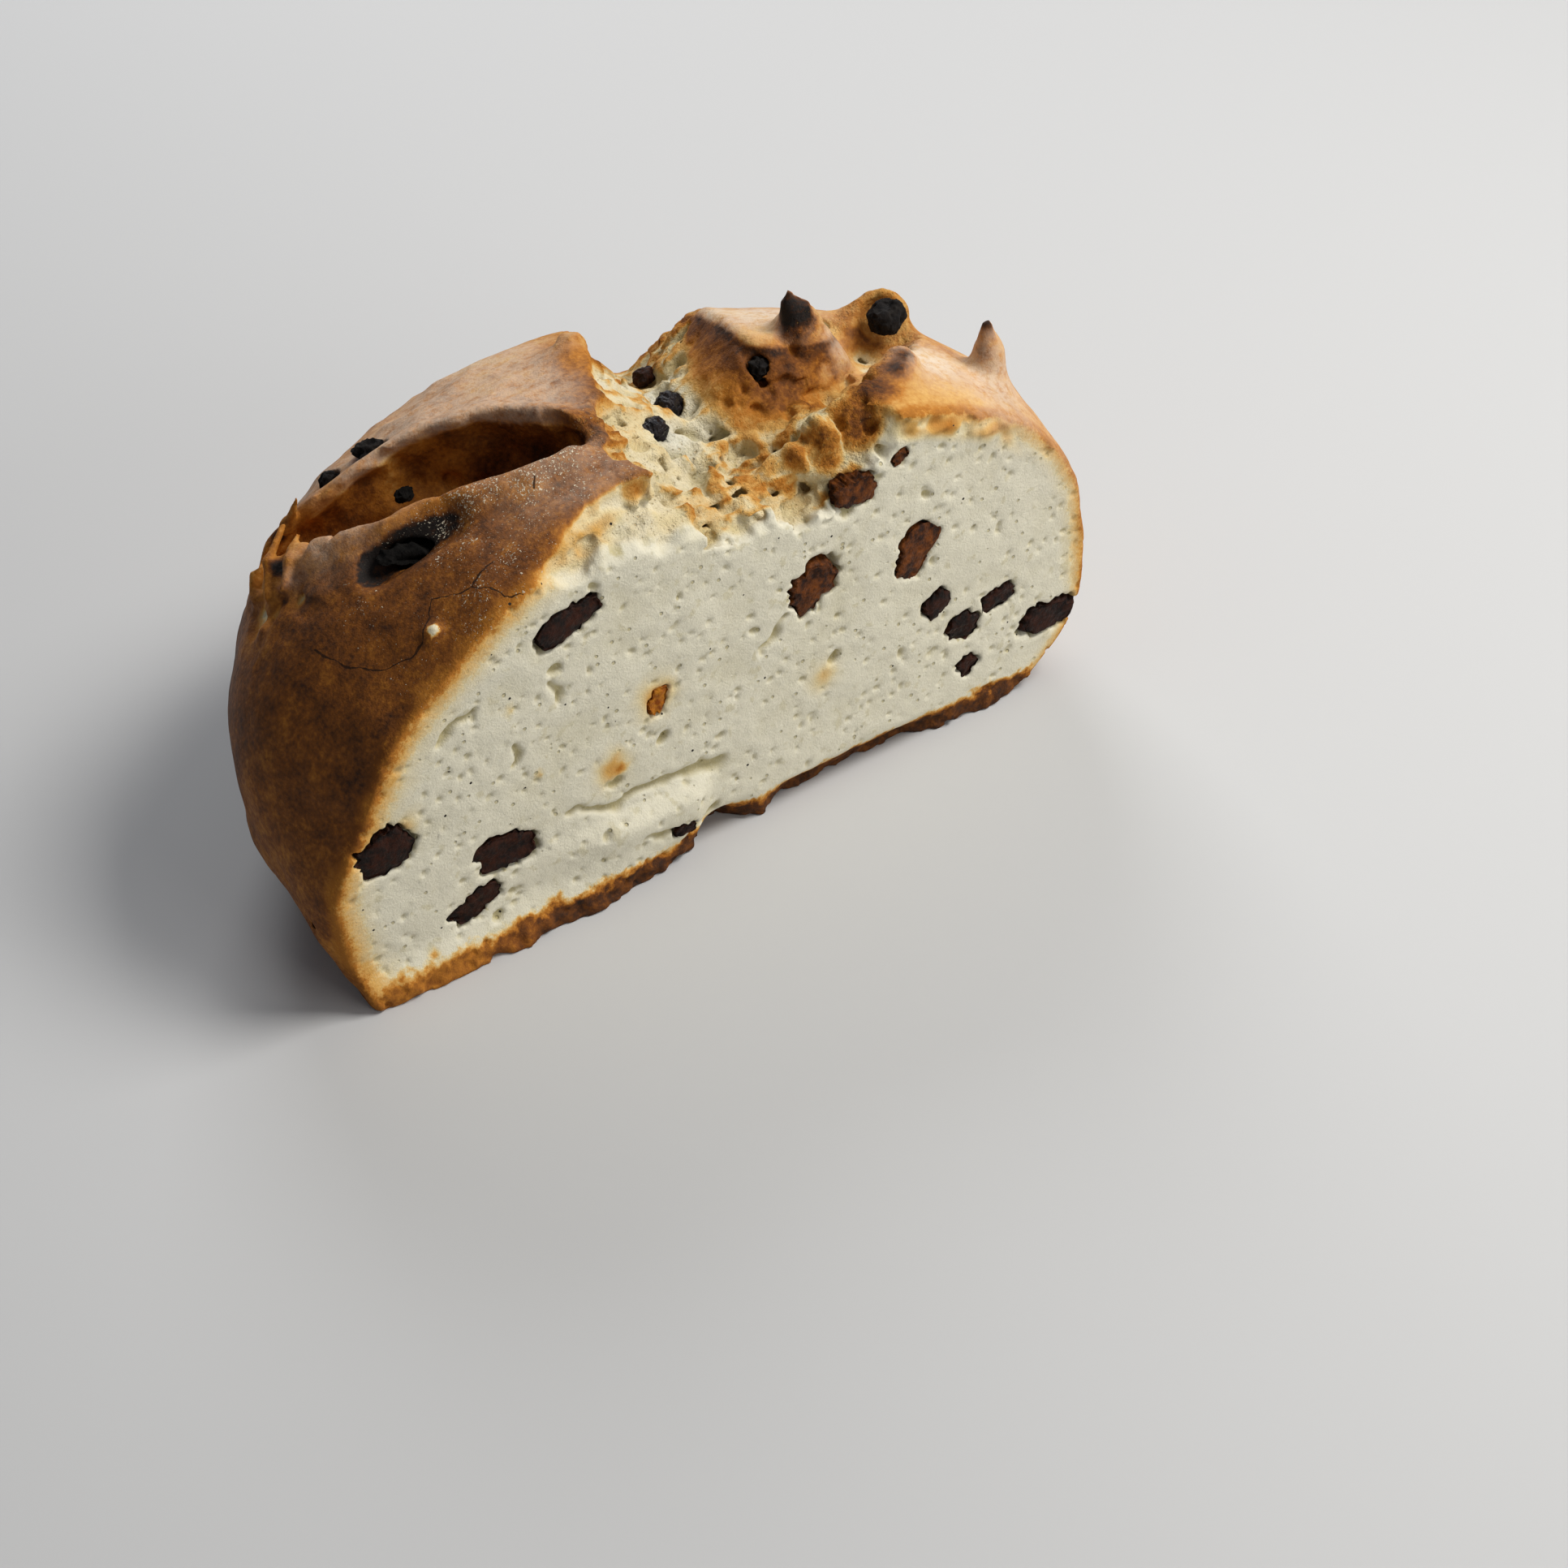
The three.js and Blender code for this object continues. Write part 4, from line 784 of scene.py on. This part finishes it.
# The vertices' places in millimetres, and their normals
def vertex_arrays(mesh):
    arrays = []
    for items, name in ((mesh.vertices, "co"), (mesh.vertex_normals, "vector")):
        flat = np.zeros(len(items) * 3, np.float32)
        items.foreach_get(name, flat)
        arrays.append(flat.reshape(-1, 3))
    return arrays[0].astype(float) / MM, arrays[1]


def build_loaf():
    points, quads = loaf_surface()
    points, quads = keep_largest_shell(points, quads)
    loaf = mesh_object("bread", points * MM, quads)
    thin = loaf.modifiers.new("Thin", "DECIMATE")
    thin.ratio = min(1, LOAF_TRIANGLES / (2 * len(quads)))
    mesh = apply_modifiers(loaf)
    mesh.name = "bread"
    for name, values in looks_at(*vertex_arrays(mesh)).items():
        layer = mesh.attributes.new(name, "FLOAT", "POINT")
        layer.data.foreach_set("value", np.asarray(values, np.float32))
    mesh.shade_smooth()
    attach(loaf, "root")
    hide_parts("loaf")
    return loaf


# Each raisin keeps its CAD form, made smooth and then wrinkled
def build_raisin(raisin):
    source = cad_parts[raisin.name].data
    faces = np.array([list(p.vertices) for p in source.polygons])
    piece = mesh_object(raisin.name + "_skin", raisin.points * MM, faces)
    weld = piece.modifiers.new("Weld", "WELD")
    weld.merge_threshold = 1e-6
    smooth = piece.modifiers.new("Smooth", "SUBSURF")
    smooth.levels = smooth.render_levels = 3
    mesh = apply_modifiers(piece)
    mesh.name = piece.name
    places, normals = vertex_arrays(mesh)
    x, y, z = places.T
    seed = raisin.seed
    size = raisin.half.mean()
    folds = web(x / (0.55 * size), y / (0.55 * size), z / (0.55 * size), seed) - 0.7
    creases = web(x / (0.24 * size), y / (0.24 * size), z / (0.24 * size), seed + 40) - 0.7
    lumps = mottling(x, y, z, 0.8 * size, seed + 80)
    if raisin.in_face:
        towards = np.clip((raisin.middle[1] - y) / (raisin.middle[1] - y.min()), 0, 0.95)
        widen = raisin.ragged(x, z) / np.sqrt(1 - towards * towards)
        places[:, 0] = raisin.middle[0] + (x - raisin.middle[0]) * widen
        places[:, 2] = raisin.middle[2] + (z - raisin.middle[2]) * widen
        x, z = places[:, 0], places[:, 2]
        edge = ramp(0.75, 1.05, raisin.outline(x, z))
        front = CUT_Y - face_relief(x, z) - 0.1 + 0.4 * edge - 0.45 * folds - 0.3 * creases
        places[:, 1] = soft_max(places[:, 1], front, 0.3)
    else:
        swollen = 0.2 * size * folds + 0.07 * size * creases + 0.14 * size * lumps
        swollen = swollen + (-0.16 if raisin.burnt and raisin.middle[0] < 50 else 0.05) * size
        places = places + normals * swollen[:, None]
    mesh.vertices.foreach_set("co", (places * MM).astype(np.float32).ravel())
    mesh.update()
    mesh.shade_smooth()
    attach(piece, "root")
    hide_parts(raisin.name)
    return piece


class Value:
    """A number that varies over a surface, worked out by a material's nodes."""

    def __init__(self, tree, socket):
        self.tree = tree
        self.socket = socket

    def combined(self, operation, *others):
        node = self.tree.nodes.new("ShaderNodeMath")
        node.operation = operation
        for socket, value in zip(node.inputs, (self, *others)):
            if isinstance(value, Value):
                self.tree.links.new(value.socket, socket)
            else:
                socket.default_value = value
        return Value(self.tree, node.outputs[0])

    __add__ = partialmethod(combined, "ADD")
    __sub__ = partialmethod(combined, "SUBTRACT")
    __mul__ = partialmethod(combined, "MULTIPLY")
    __truediv__ = partialmethod(combined, "DIVIDE")
    __lt__ = partialmethod(combined, "LESS_THAN")
    __gt__ = partialmethod(combined, "GREATER_THAN")
    at_least = partialmethod(combined, "MAXIMUM")
    at_most = partialmethod(combined, "MINIMUM")
    scaled = partialmethod(combined, "MULTIPLY_ADD")

    def clamped(self, low=0.0, high=1.0):
        return self.at_least(low).at_most(high)


def attribute(tree, name):
    node = tree.nodes.new("ShaderNodeAttribute")
    node.attribute_name = name
    return Value(tree, node.outputs["Fac"])


def colour_ramp(tree, factor, stops):
    node = tree.nodes.new("ShaderNodeValToRGB")
    elements = node.color_ramp.elements
    while len(elements) < len(stops):
        elements.new(0.5)
    for element, (position, colour) in zip(elements, stops):
        element.position = position
        element.color = (*colour, 1)
    tree.links.new(factor.socket, node.inputs["Fac"])
    return node.outputs["Color"]


# The first colour where the factor is 0 and the second where it is 1
def mix(tree, factor, first, second):
    node = tree.nodes.new("ShaderNodeMix")
    node.data_type = "RGBA"
    for name, value in (("Factor", factor.socket), ("A", first), ("B", second)):
        socket = next(s for s in node.inputs if s.name == name and s.enabled)
        if isinstance(value, tuple):
            socket.default_value = (*value, 1)
        else:
            tree.links.new(value, socket)
    return next(s for s in node.outputs if s.enabled)


def object_place(tree):
    return tree.nodes.new("ShaderNodeTexCoord").outputs["Object"]


# A texture node laid out in the object's own millimetres
def texture(tree, kind, size):
    node = tree.nodes.new("ShaderNodeTex" + kind)
    node.inputs["Scale"].default_value = 1 / (size * MM)
    tree.links.new(object_place(tree), node.inputs["Vector"])
    return node


# Noise from 0 to 1
def grain(tree, size, detail=2.0, roughness=0.5):
    node = texture(tree, "Noise", size)
    node.inputs["Detail"].default_value = detail
    node.inputs["Roughness"].default_value = roughness
    return Value(tree, node.outputs["Fac"])


def centred(tree, size, detail=3.0, roughness=0.6):
    return grain(tree, size, detail, roughness) - 0.5


# Cells: the distance from each one's middle, and its two random numbers
def cells(tree, size):
    node = texture(tree, "Voronoi", size)
    parts = tree.nodes.new("ShaderNodeSeparateColor")
    tree.links.new(node.outputs["Color"], parts.inputs["Color"])
    return [Value(tree, socket) for socket in (node.outputs["Distance"], *parts.outputs[:2])]


def new_material(name):
    material = bpy.data.materials.new(name)
    material.use_nodes = True
    tree = material.node_tree
    return material, tree, tree.nodes["Principled BSDF"]


def bump(tree, height, distance):
    node = tree.nodes.new("ShaderNodeBump")
    node.inputs["Strength"].default_value = 1.0
    node.inputs["Distance"].default_value = distance * MM
    tree.links.new(height.socket, node.inputs["Height"])
    return node.outputs["Normal"]


CREAM = (0.66, 0.62, 0.485)
PALE_YELLOW = (0.68, 0.56, 0.32)
GOLD = (0.62, 0.355, 0.10)
ORANGE_BROWN = (0.43, 0.165, 0.022)
BROWN = (0.188, 0.062, 0.011)
DARK_BROWN = (0.068, 0.025, 0.009)
BLACK = (0.017, 0.013, 0.011)
FLOUR = (0.68, 0.58, 0.46)
OLIVE_STAIN_AND_SHADE = (0.40, 0.33, 0.13)
DEEP_GOLD_SHADE = (0.46, 0.27, 0.07)
# Near-white of the painted glints on the pale crumb
PAINTED_GLINT_WHITE = (0.82, 0.80, 0.72)
SOOT = (0.03, 0.025, 0.02)
FLOUR_GRAIN = (0.80, 0.70, 0.52)
CRACK = (0.022, 0.01, 0.005)
BAKE_COLOURS = [
    (0.0, CREAM), (0.14, PALE_YELLOW), (0.3, GOLD), (0.5, ORANGE_BROWN),
    (0.7, BROWN), (0.86, DARK_BROWN), (1.0, BLACK),
]

# Hairline cracks in the front left crust, as runs of x, y, z
CRACKS = [
    [(-70.3, 3.9, 62.4), (-68.8, -2.1, 62.1), (-67, -5.1, 62.6), (-64.7, -8.3, 63.4),
     (-62.3, -10.2, 64.8), (-59.1, -12, 66.6), (-57.1, -10.9, 68.5), (-55.5, -9.5, 70.2),
     (-53.3, -7.2, 72.4)],
    [(-53.3, -7.2, 72.4), (-51.2, -9.1, 73.4), (-47.8, -11.7, 75), (-45.1, -10.5, 76.6),
     (-42.7, -10.4, 77.7)],
    [(-47.8, -11.7, 75), (-45.6, -14.4, 75.6), (-44.9, -16.8, 75.3), (-42.3, -19, 75.5)],
    [(-28.4, -1.9, 84), (-29.5, -3.4, 82.8)],
]
CRACKED_SIDE = Vector((-0.56, -0.22, 0.8)).normalized()
PRESSED_SHARE = 0.93
CRACK_WANDER = Vector((0.8, 0.8, 0.8)) * MM


def vector_math(tree, operation, first, second, output="Vector"):
    node = tree.nodes.new("ShaderNodeVectorMath")
    node.operation = operation
    for socket, value in zip(node.inputs, (first, second)):
        if isinstance(value, Vector):
            socket.default_value = value
        else:
            tree.links.new(value, socket)
    return node.outputs[output]


def scaled_vector(tree, vector, factor):
    node = tree.nodes.new("ShaderNodeVectorMath")
    node.operation = "SCALE"
    node.inputs[0].default_value = vector
    tree.links.new(factor, node.inputs["Scale"])
    return node.outputs["Vector"]


# A point pressed nearly flat against the cracked side, as a crack's line needn't lie just on the surface
def pressed(point):
    return point - CRACKED_SIDE * point.dot(CRACKED_SIDE) * PRESSED_SHARE


# 1 on a crack's line and 0 beside it, the line wandering a little
def crack_mask(tree):
    shake = texture(tree, "Noise", 3).outputs["Color"]
    offset = vector_math(tree, "MULTIPLY", shake, CRACK_WANDER * 2)
    place = vector_math(tree, "ADD", object_place(tree), offset)
    rise = vector_math(tree, "DOT_PRODUCT", place, CRACKED_SIDE * PRESSED_SHARE, "Value")
    place = vector_math(tree, "SUBTRACT", place, scaled_vector(tree, CRACKED_SIDE, rise))
    nearest = None
    for line in CRACKS:
        points = [pressed(Vector(point) * MM + CRACK_WANDER) for point in line]
        for start, end in zip(points, points[1:]):
            run = end - start
            along = vector_math(tree, "SUBTRACT", place, start)
            share = vector_math(tree, "DOT_PRODUCT", along, run / run.length_squared, "Value")
            on_run = scaled_vector(tree, run, Value(tree, share).clamped().socket)
            gap = Value(tree, vector_math(tree, "DISTANCE", along, on_run, "Value"))
            nearest = gap if nearest is None else nearest.at_most(gap)
    return nearest < grain(tree, 3.0).scaled(0.5 * MM, -0.13 * MM)


# Fine pores, too small to be modelled: 1 in the middle of some of the cells, softly falling to 0
def pore_cells(tree, size, share):
    distance, first, second = cells(tree, size)
    near = (second.scaled(0.2, 0.1) - distance) / 0.12
    return near.clamped() * (first < share)


# Fine uneven grains of flour, gathered in drifts where the surface is dusted
def flour_grains(tree, size, most):
    specks = attribute(tree, "specks")
    drift = centred(tree, 5.0, 4.0).scaled(2.6, specks).clamped()
    above = grain(tree, size, 2.0, 0.6) - drift.scaled(-most, 0.735)
    return (above * 16.0).clamped() * (specks > 0.03)


# How baked the surface is, from pale crumb at 0 to burnt at 1, with the bottom band of the cut face darkened
# further as painted shade
def bake_level(tree, raw, face, torn, fine):
    change = centred(tree, 4.5).scaled(0.46, fine * 0.42)
    crumbly = centred(tree, 1.5, 3.0, 0.65) * 0.5
    change = crumbly.scaled(torn, change)
    surface = attribute(tree, "bake")
    surface = change.scaled((surface * 1.8).clamped(), surface)

    depth = centred(tree, 0.8, 4.0, 0.75).scaled(2.4, attribute(tree, "depth"))
    depth = centred(tree, 3.0).scaled(1.8, depth)
    fade = tree.nodes.new("ShaderNodeFloatCurve")
    curve = fade.mapping.curves[0]
    for position, value in ((0.05, 0.8), (0.12, 0.5), (0.24, 0.34), (0.38, 0.1)):
        curve.points.new(position, value)
    curve.points[0].location = (0, 1)
    curve.points[-1].location = (1, 0.0)
    fade.mapping.update()
    tree.links.new((depth / 9.0).clamped().socket, fade.inputs["Value"])
    inner = Value(tree, fade.outputs[0]) * attribute(tree, "crust")
    inner = inner.at_least(attribute(tree, "spots"))

    # The bottom crust's band along the foot of the cut face: its own brown, made darker as painted shade near
    # the floor
    split = tree.nodes.new("ShaderNodeSeparateXYZ")
    tree.links.new(object_place(tree), split.inputs[0])
    height = Value(tree, split.outputs["Z"]) / MM
    height = centred(tree, 3.5, 4.0, 0.65).scaled(7.0, height)
    base = height.scaled(-0.42, 2.5).clamped()
    base = base * centred(tree, 2.2, 4.0, 0.7).scaled(0.7, attribute(tree, "base_crust_and_shade"))
    inner = inner.at_least(base * face)
    return (inner - surface).scaled(raw, surface)


def bread_material():
    material, tree, shader = new_material("bread_material")
    raw, face, torn = (attribute(tree, name) for name in ("raw", "face", "torn"))
    fine = centred(tree, 0.9)
    bake = bake_level(tree, raw, face, torn, fine)
    colour = colour_ramp(tree, bake, BAKE_COLOURS)

    crumb = raw.at_least(torn)
    pale = bake.scaled(-3.2, 1.1).clamped()
    pores = (attribute(tree, "pore") * 0.75).clamped()
    stains = grain(tree, 3.2, 2.0).scaled(5.0, -3.1).clamped(0.0, 0.3) * crumb
    # Tiny bright specks on the pale crumb: painted glints, a painted highlight laid into the colour
    light = grain(tree, 0.45, 3.0, 0.75).scaled(4.0, -2.2).clamped()
    sponge = (crumb - face).clamped()
    hollows = pore_cells(tree, 0.75, 0.7).at_least(pore_cells(tree, 1.3, 0.35)) * sponge
    pits = pore_cells(tree, 1.7, 0.2) * crumb * pale
    distance, _, random = cells(tree, 5.0)
    dust = grain(tree, 2.0, 4.0, 0.75).scaled(3.0, -0.7).clamped(0.0, 0.95)
    specks = flour_grains(tree, 0.36, 0.17).at_least(flour_grains(tree, 0.7, 0.12))
    cracks = crack_mask(tree)
    # The pores, the fine pits and the torn crumb's hollows are tinted darker olive and deep gold: painted
    # shade in these hollows. The stains are the crumb's own olive patches.
    coats = (
        (pores.at_least(stains) * pale, OLIVE_STAIN_AND_SHADE),
        (light * pale * crumb * 0.45, PAINTED_GLINT_WHITE),
        (hollows * 0.35, DEEP_GOLD_SHADE),
        (pits * 0.55, OLIVE_STAIN_AND_SHADE),
        ((distance < 0.055) * (random < 0.35) * crumb, SOOT),
        (dust * attribute(tree, "flour"), FLOUR),
        (specks * 0.85, FLOUR_GRAIN),
        (cracks * 0.9, CRACK),
    )
    for amount, tint in coats:
        colour = mix(tree, amount, colour, tint)
    tree.links.new(colour, shader.inputs["Base Color"])

    roughness = fine.scaled(0.2, crumb.scaled(0.2, 0.6))
    tree.links.new(roughness.socket, shader.inputs["Roughness"])
    shader.inputs["Specular IOR Level"].default_value = 0.12
    relief = grain(tree, 0.4, 3.0, 0.65).scaled(0.9, grain(tree, 1.7, 3.0))
    crumbs = centred(tree, 1.1, 4.0, 0.7) * sponge
    layers = ((pits, -1.6), (hollows, -1.3), (crumbs, 5.0), (cracks, -1.6), (specks, 0.6))
    for layer, height in layers:
        relief = layer.scaled(height, relief)
    tree.links.new(bump(tree, relief, 0.17), shader.inputs["Normal"])
    return material


def raisin_material(name, dark, light, dull=0.1):
    material, tree, shader = new_material(name)
    shader.inputs["Specular IOR Level"].default_value = 0.14
    tone = grain(tree, 2.0, 3.0, 0.65)
    tree.links.new(colour_ramp(tree, tone, [(0.38, dark), (0.66, light)]), shader.inputs["Base Color"])
    tree.links.new(grain(tree, 1.1, 2.0).scaled(0.9, dull).socket, shader.inputs["Roughness"])
    tree.links.new(bump(tree, grain(tree, 0.8, 3.0, 0.65), 0.4), shader.inputs["Normal"])
    return material


FLOOR_REACH = 3.0


def build_stage():
    corners = [(x * FLOOR_REACH, y * FLOOR_REACH, 0) for x, y in ((-1, -1), (1, -1), (1, 1), (-1, 1))]
    ground = mesh_object("floor", np.array(corners), np.array([[0, 1, 2, 3]]))
    material, _, shader = new_material("floor_material")
    shader.inputs["Base Color"].default_value = (0.52, 0.52, 0.515, 1)
    shader.inputs["Roughness"].default_value = 0.8
    ground.data.materials.append(material)
    world = bpy.data.worlds.new("studio")
    bpy.context.scene.world = world
    world.use_nodes = True
    background = world.node_tree.nodes["Background"]
    background.inputs["Color"].default_value = (0.86, 0.90, 1.0, 1)
    background.inputs["Strength"].default_value = 0.16
    bpy.context.scene.view_settings.view_transform = "Standard"


# A lamp or a camera, facing ahead
def aimed_object(name, data, place, ahead):
    made = new_object(name, data)
    made.location = place
    made.rotation_euler = ahead.to_track_quat("-Z", "Y").to_euler()
    return made


# A lamp turned to a height over the middle of the loaf
def area_light(name, place, aim_height, size, power, colour):
    light = bpy.data.lights.new(name, "AREA")
    light.energy = power
    light.size = size
    light.color = colour
    aimed_object(name, light, place, Vector((0, 0, aim_height)) - Vector(place))


# The photograph's view: its azimuth and elevation, the lens's field and the distance
VIEW_AZIMUTH = 36
VIEW_ELEVATION = 42
VIEW_FIELD = 28
VIEW_DISTANCE = 0.59962
VIEW_TARGET = Vector((0.01458, -0.01417, 0))


def build_camera():
    data = bpy.data.cameras.new("camera")
    data.sensor_width = 36
    data.lens = 18 / math.tan(math.radians(VIEW_FIELD / 2))
    a, e = math.radians(VIEW_AZIMUTH), math.radians(VIEW_ELEVATION)
    ahead = Vector((math.sin(a) * math.cos(e), math.cos(a) * math.cos(e), -math.sin(e)))
    place = VIEW_TARGET - ahead * VIEW_DISTANCE
    bpy.context.scene.camera = aimed_object("camera", data, place, ahead)


build_camera()
build_stage()
area_light("key", (0.46, -0.24, 0.75), 0.04, 0.4, 7.6, (1.0, 0.98, 0.95))
area_light("front fill", (0.3, -0.9, 0.32), 0.04, 0.6, 3.1, (1.0, 0.985, 0.96))
area_light("back light", (0.3, 0.75, 0.55), 0.05, 0.45, 4.5, (0.97, 0.98, 1.0))

loaf = build_loaf()
loaf.data.materials.append(bread_material())
raisin_skins = {
    "dark": raisin_material("raisin_material", (0.005, 0.002, 0.001), (0.036, 0.008, 0.002)),
    "amber": raisin_material("raisin_amber_material", (0.22, 0.05, 0.002), (0.52, 0.2, 0.015)),
    "brown": raisin_material("raisin_brown_material", (0.02, 0.006, 0.002), (0.16, 0.043, 0.005)),
    "glossy": raisin_material("raisin_glossy_material", (0.004, 0.004, 0.006), (0.018, 0.013, 0.013), -0.25),
    "charred": raisin_material("raisin_charred_material", (0.004, 0.0035, 0.003), (0.008, 0.007, 0.006), 0.6),
    "burnt": raisin_material("raisin_burnt_material", (0.006, 0.005, 0.005), (0.016, 0.013, 0.011), 0.45),
}
OTHER_SKINS = {
    "raisin_05": "brown", "raisin_06": "brown", "raisin_12": "brown", "raisin_13": "amber",
    "raisin_15": "brown", "raisin_16": "glossy", "raisin_17": "glossy",
}
OTHER_SKINS.update({name: "burnt" for name in BURNT_RAISINS})
OTHER_SKINS["raisin_21"] = OTHER_SKINS["raisin_24"] = "charred"
for raisin in RAISINS:
    skin = raisin_skins[OTHER_SKINS.get(raisin.name, "dark")]
    build_raisin(raisin).data.materials.append(skin)
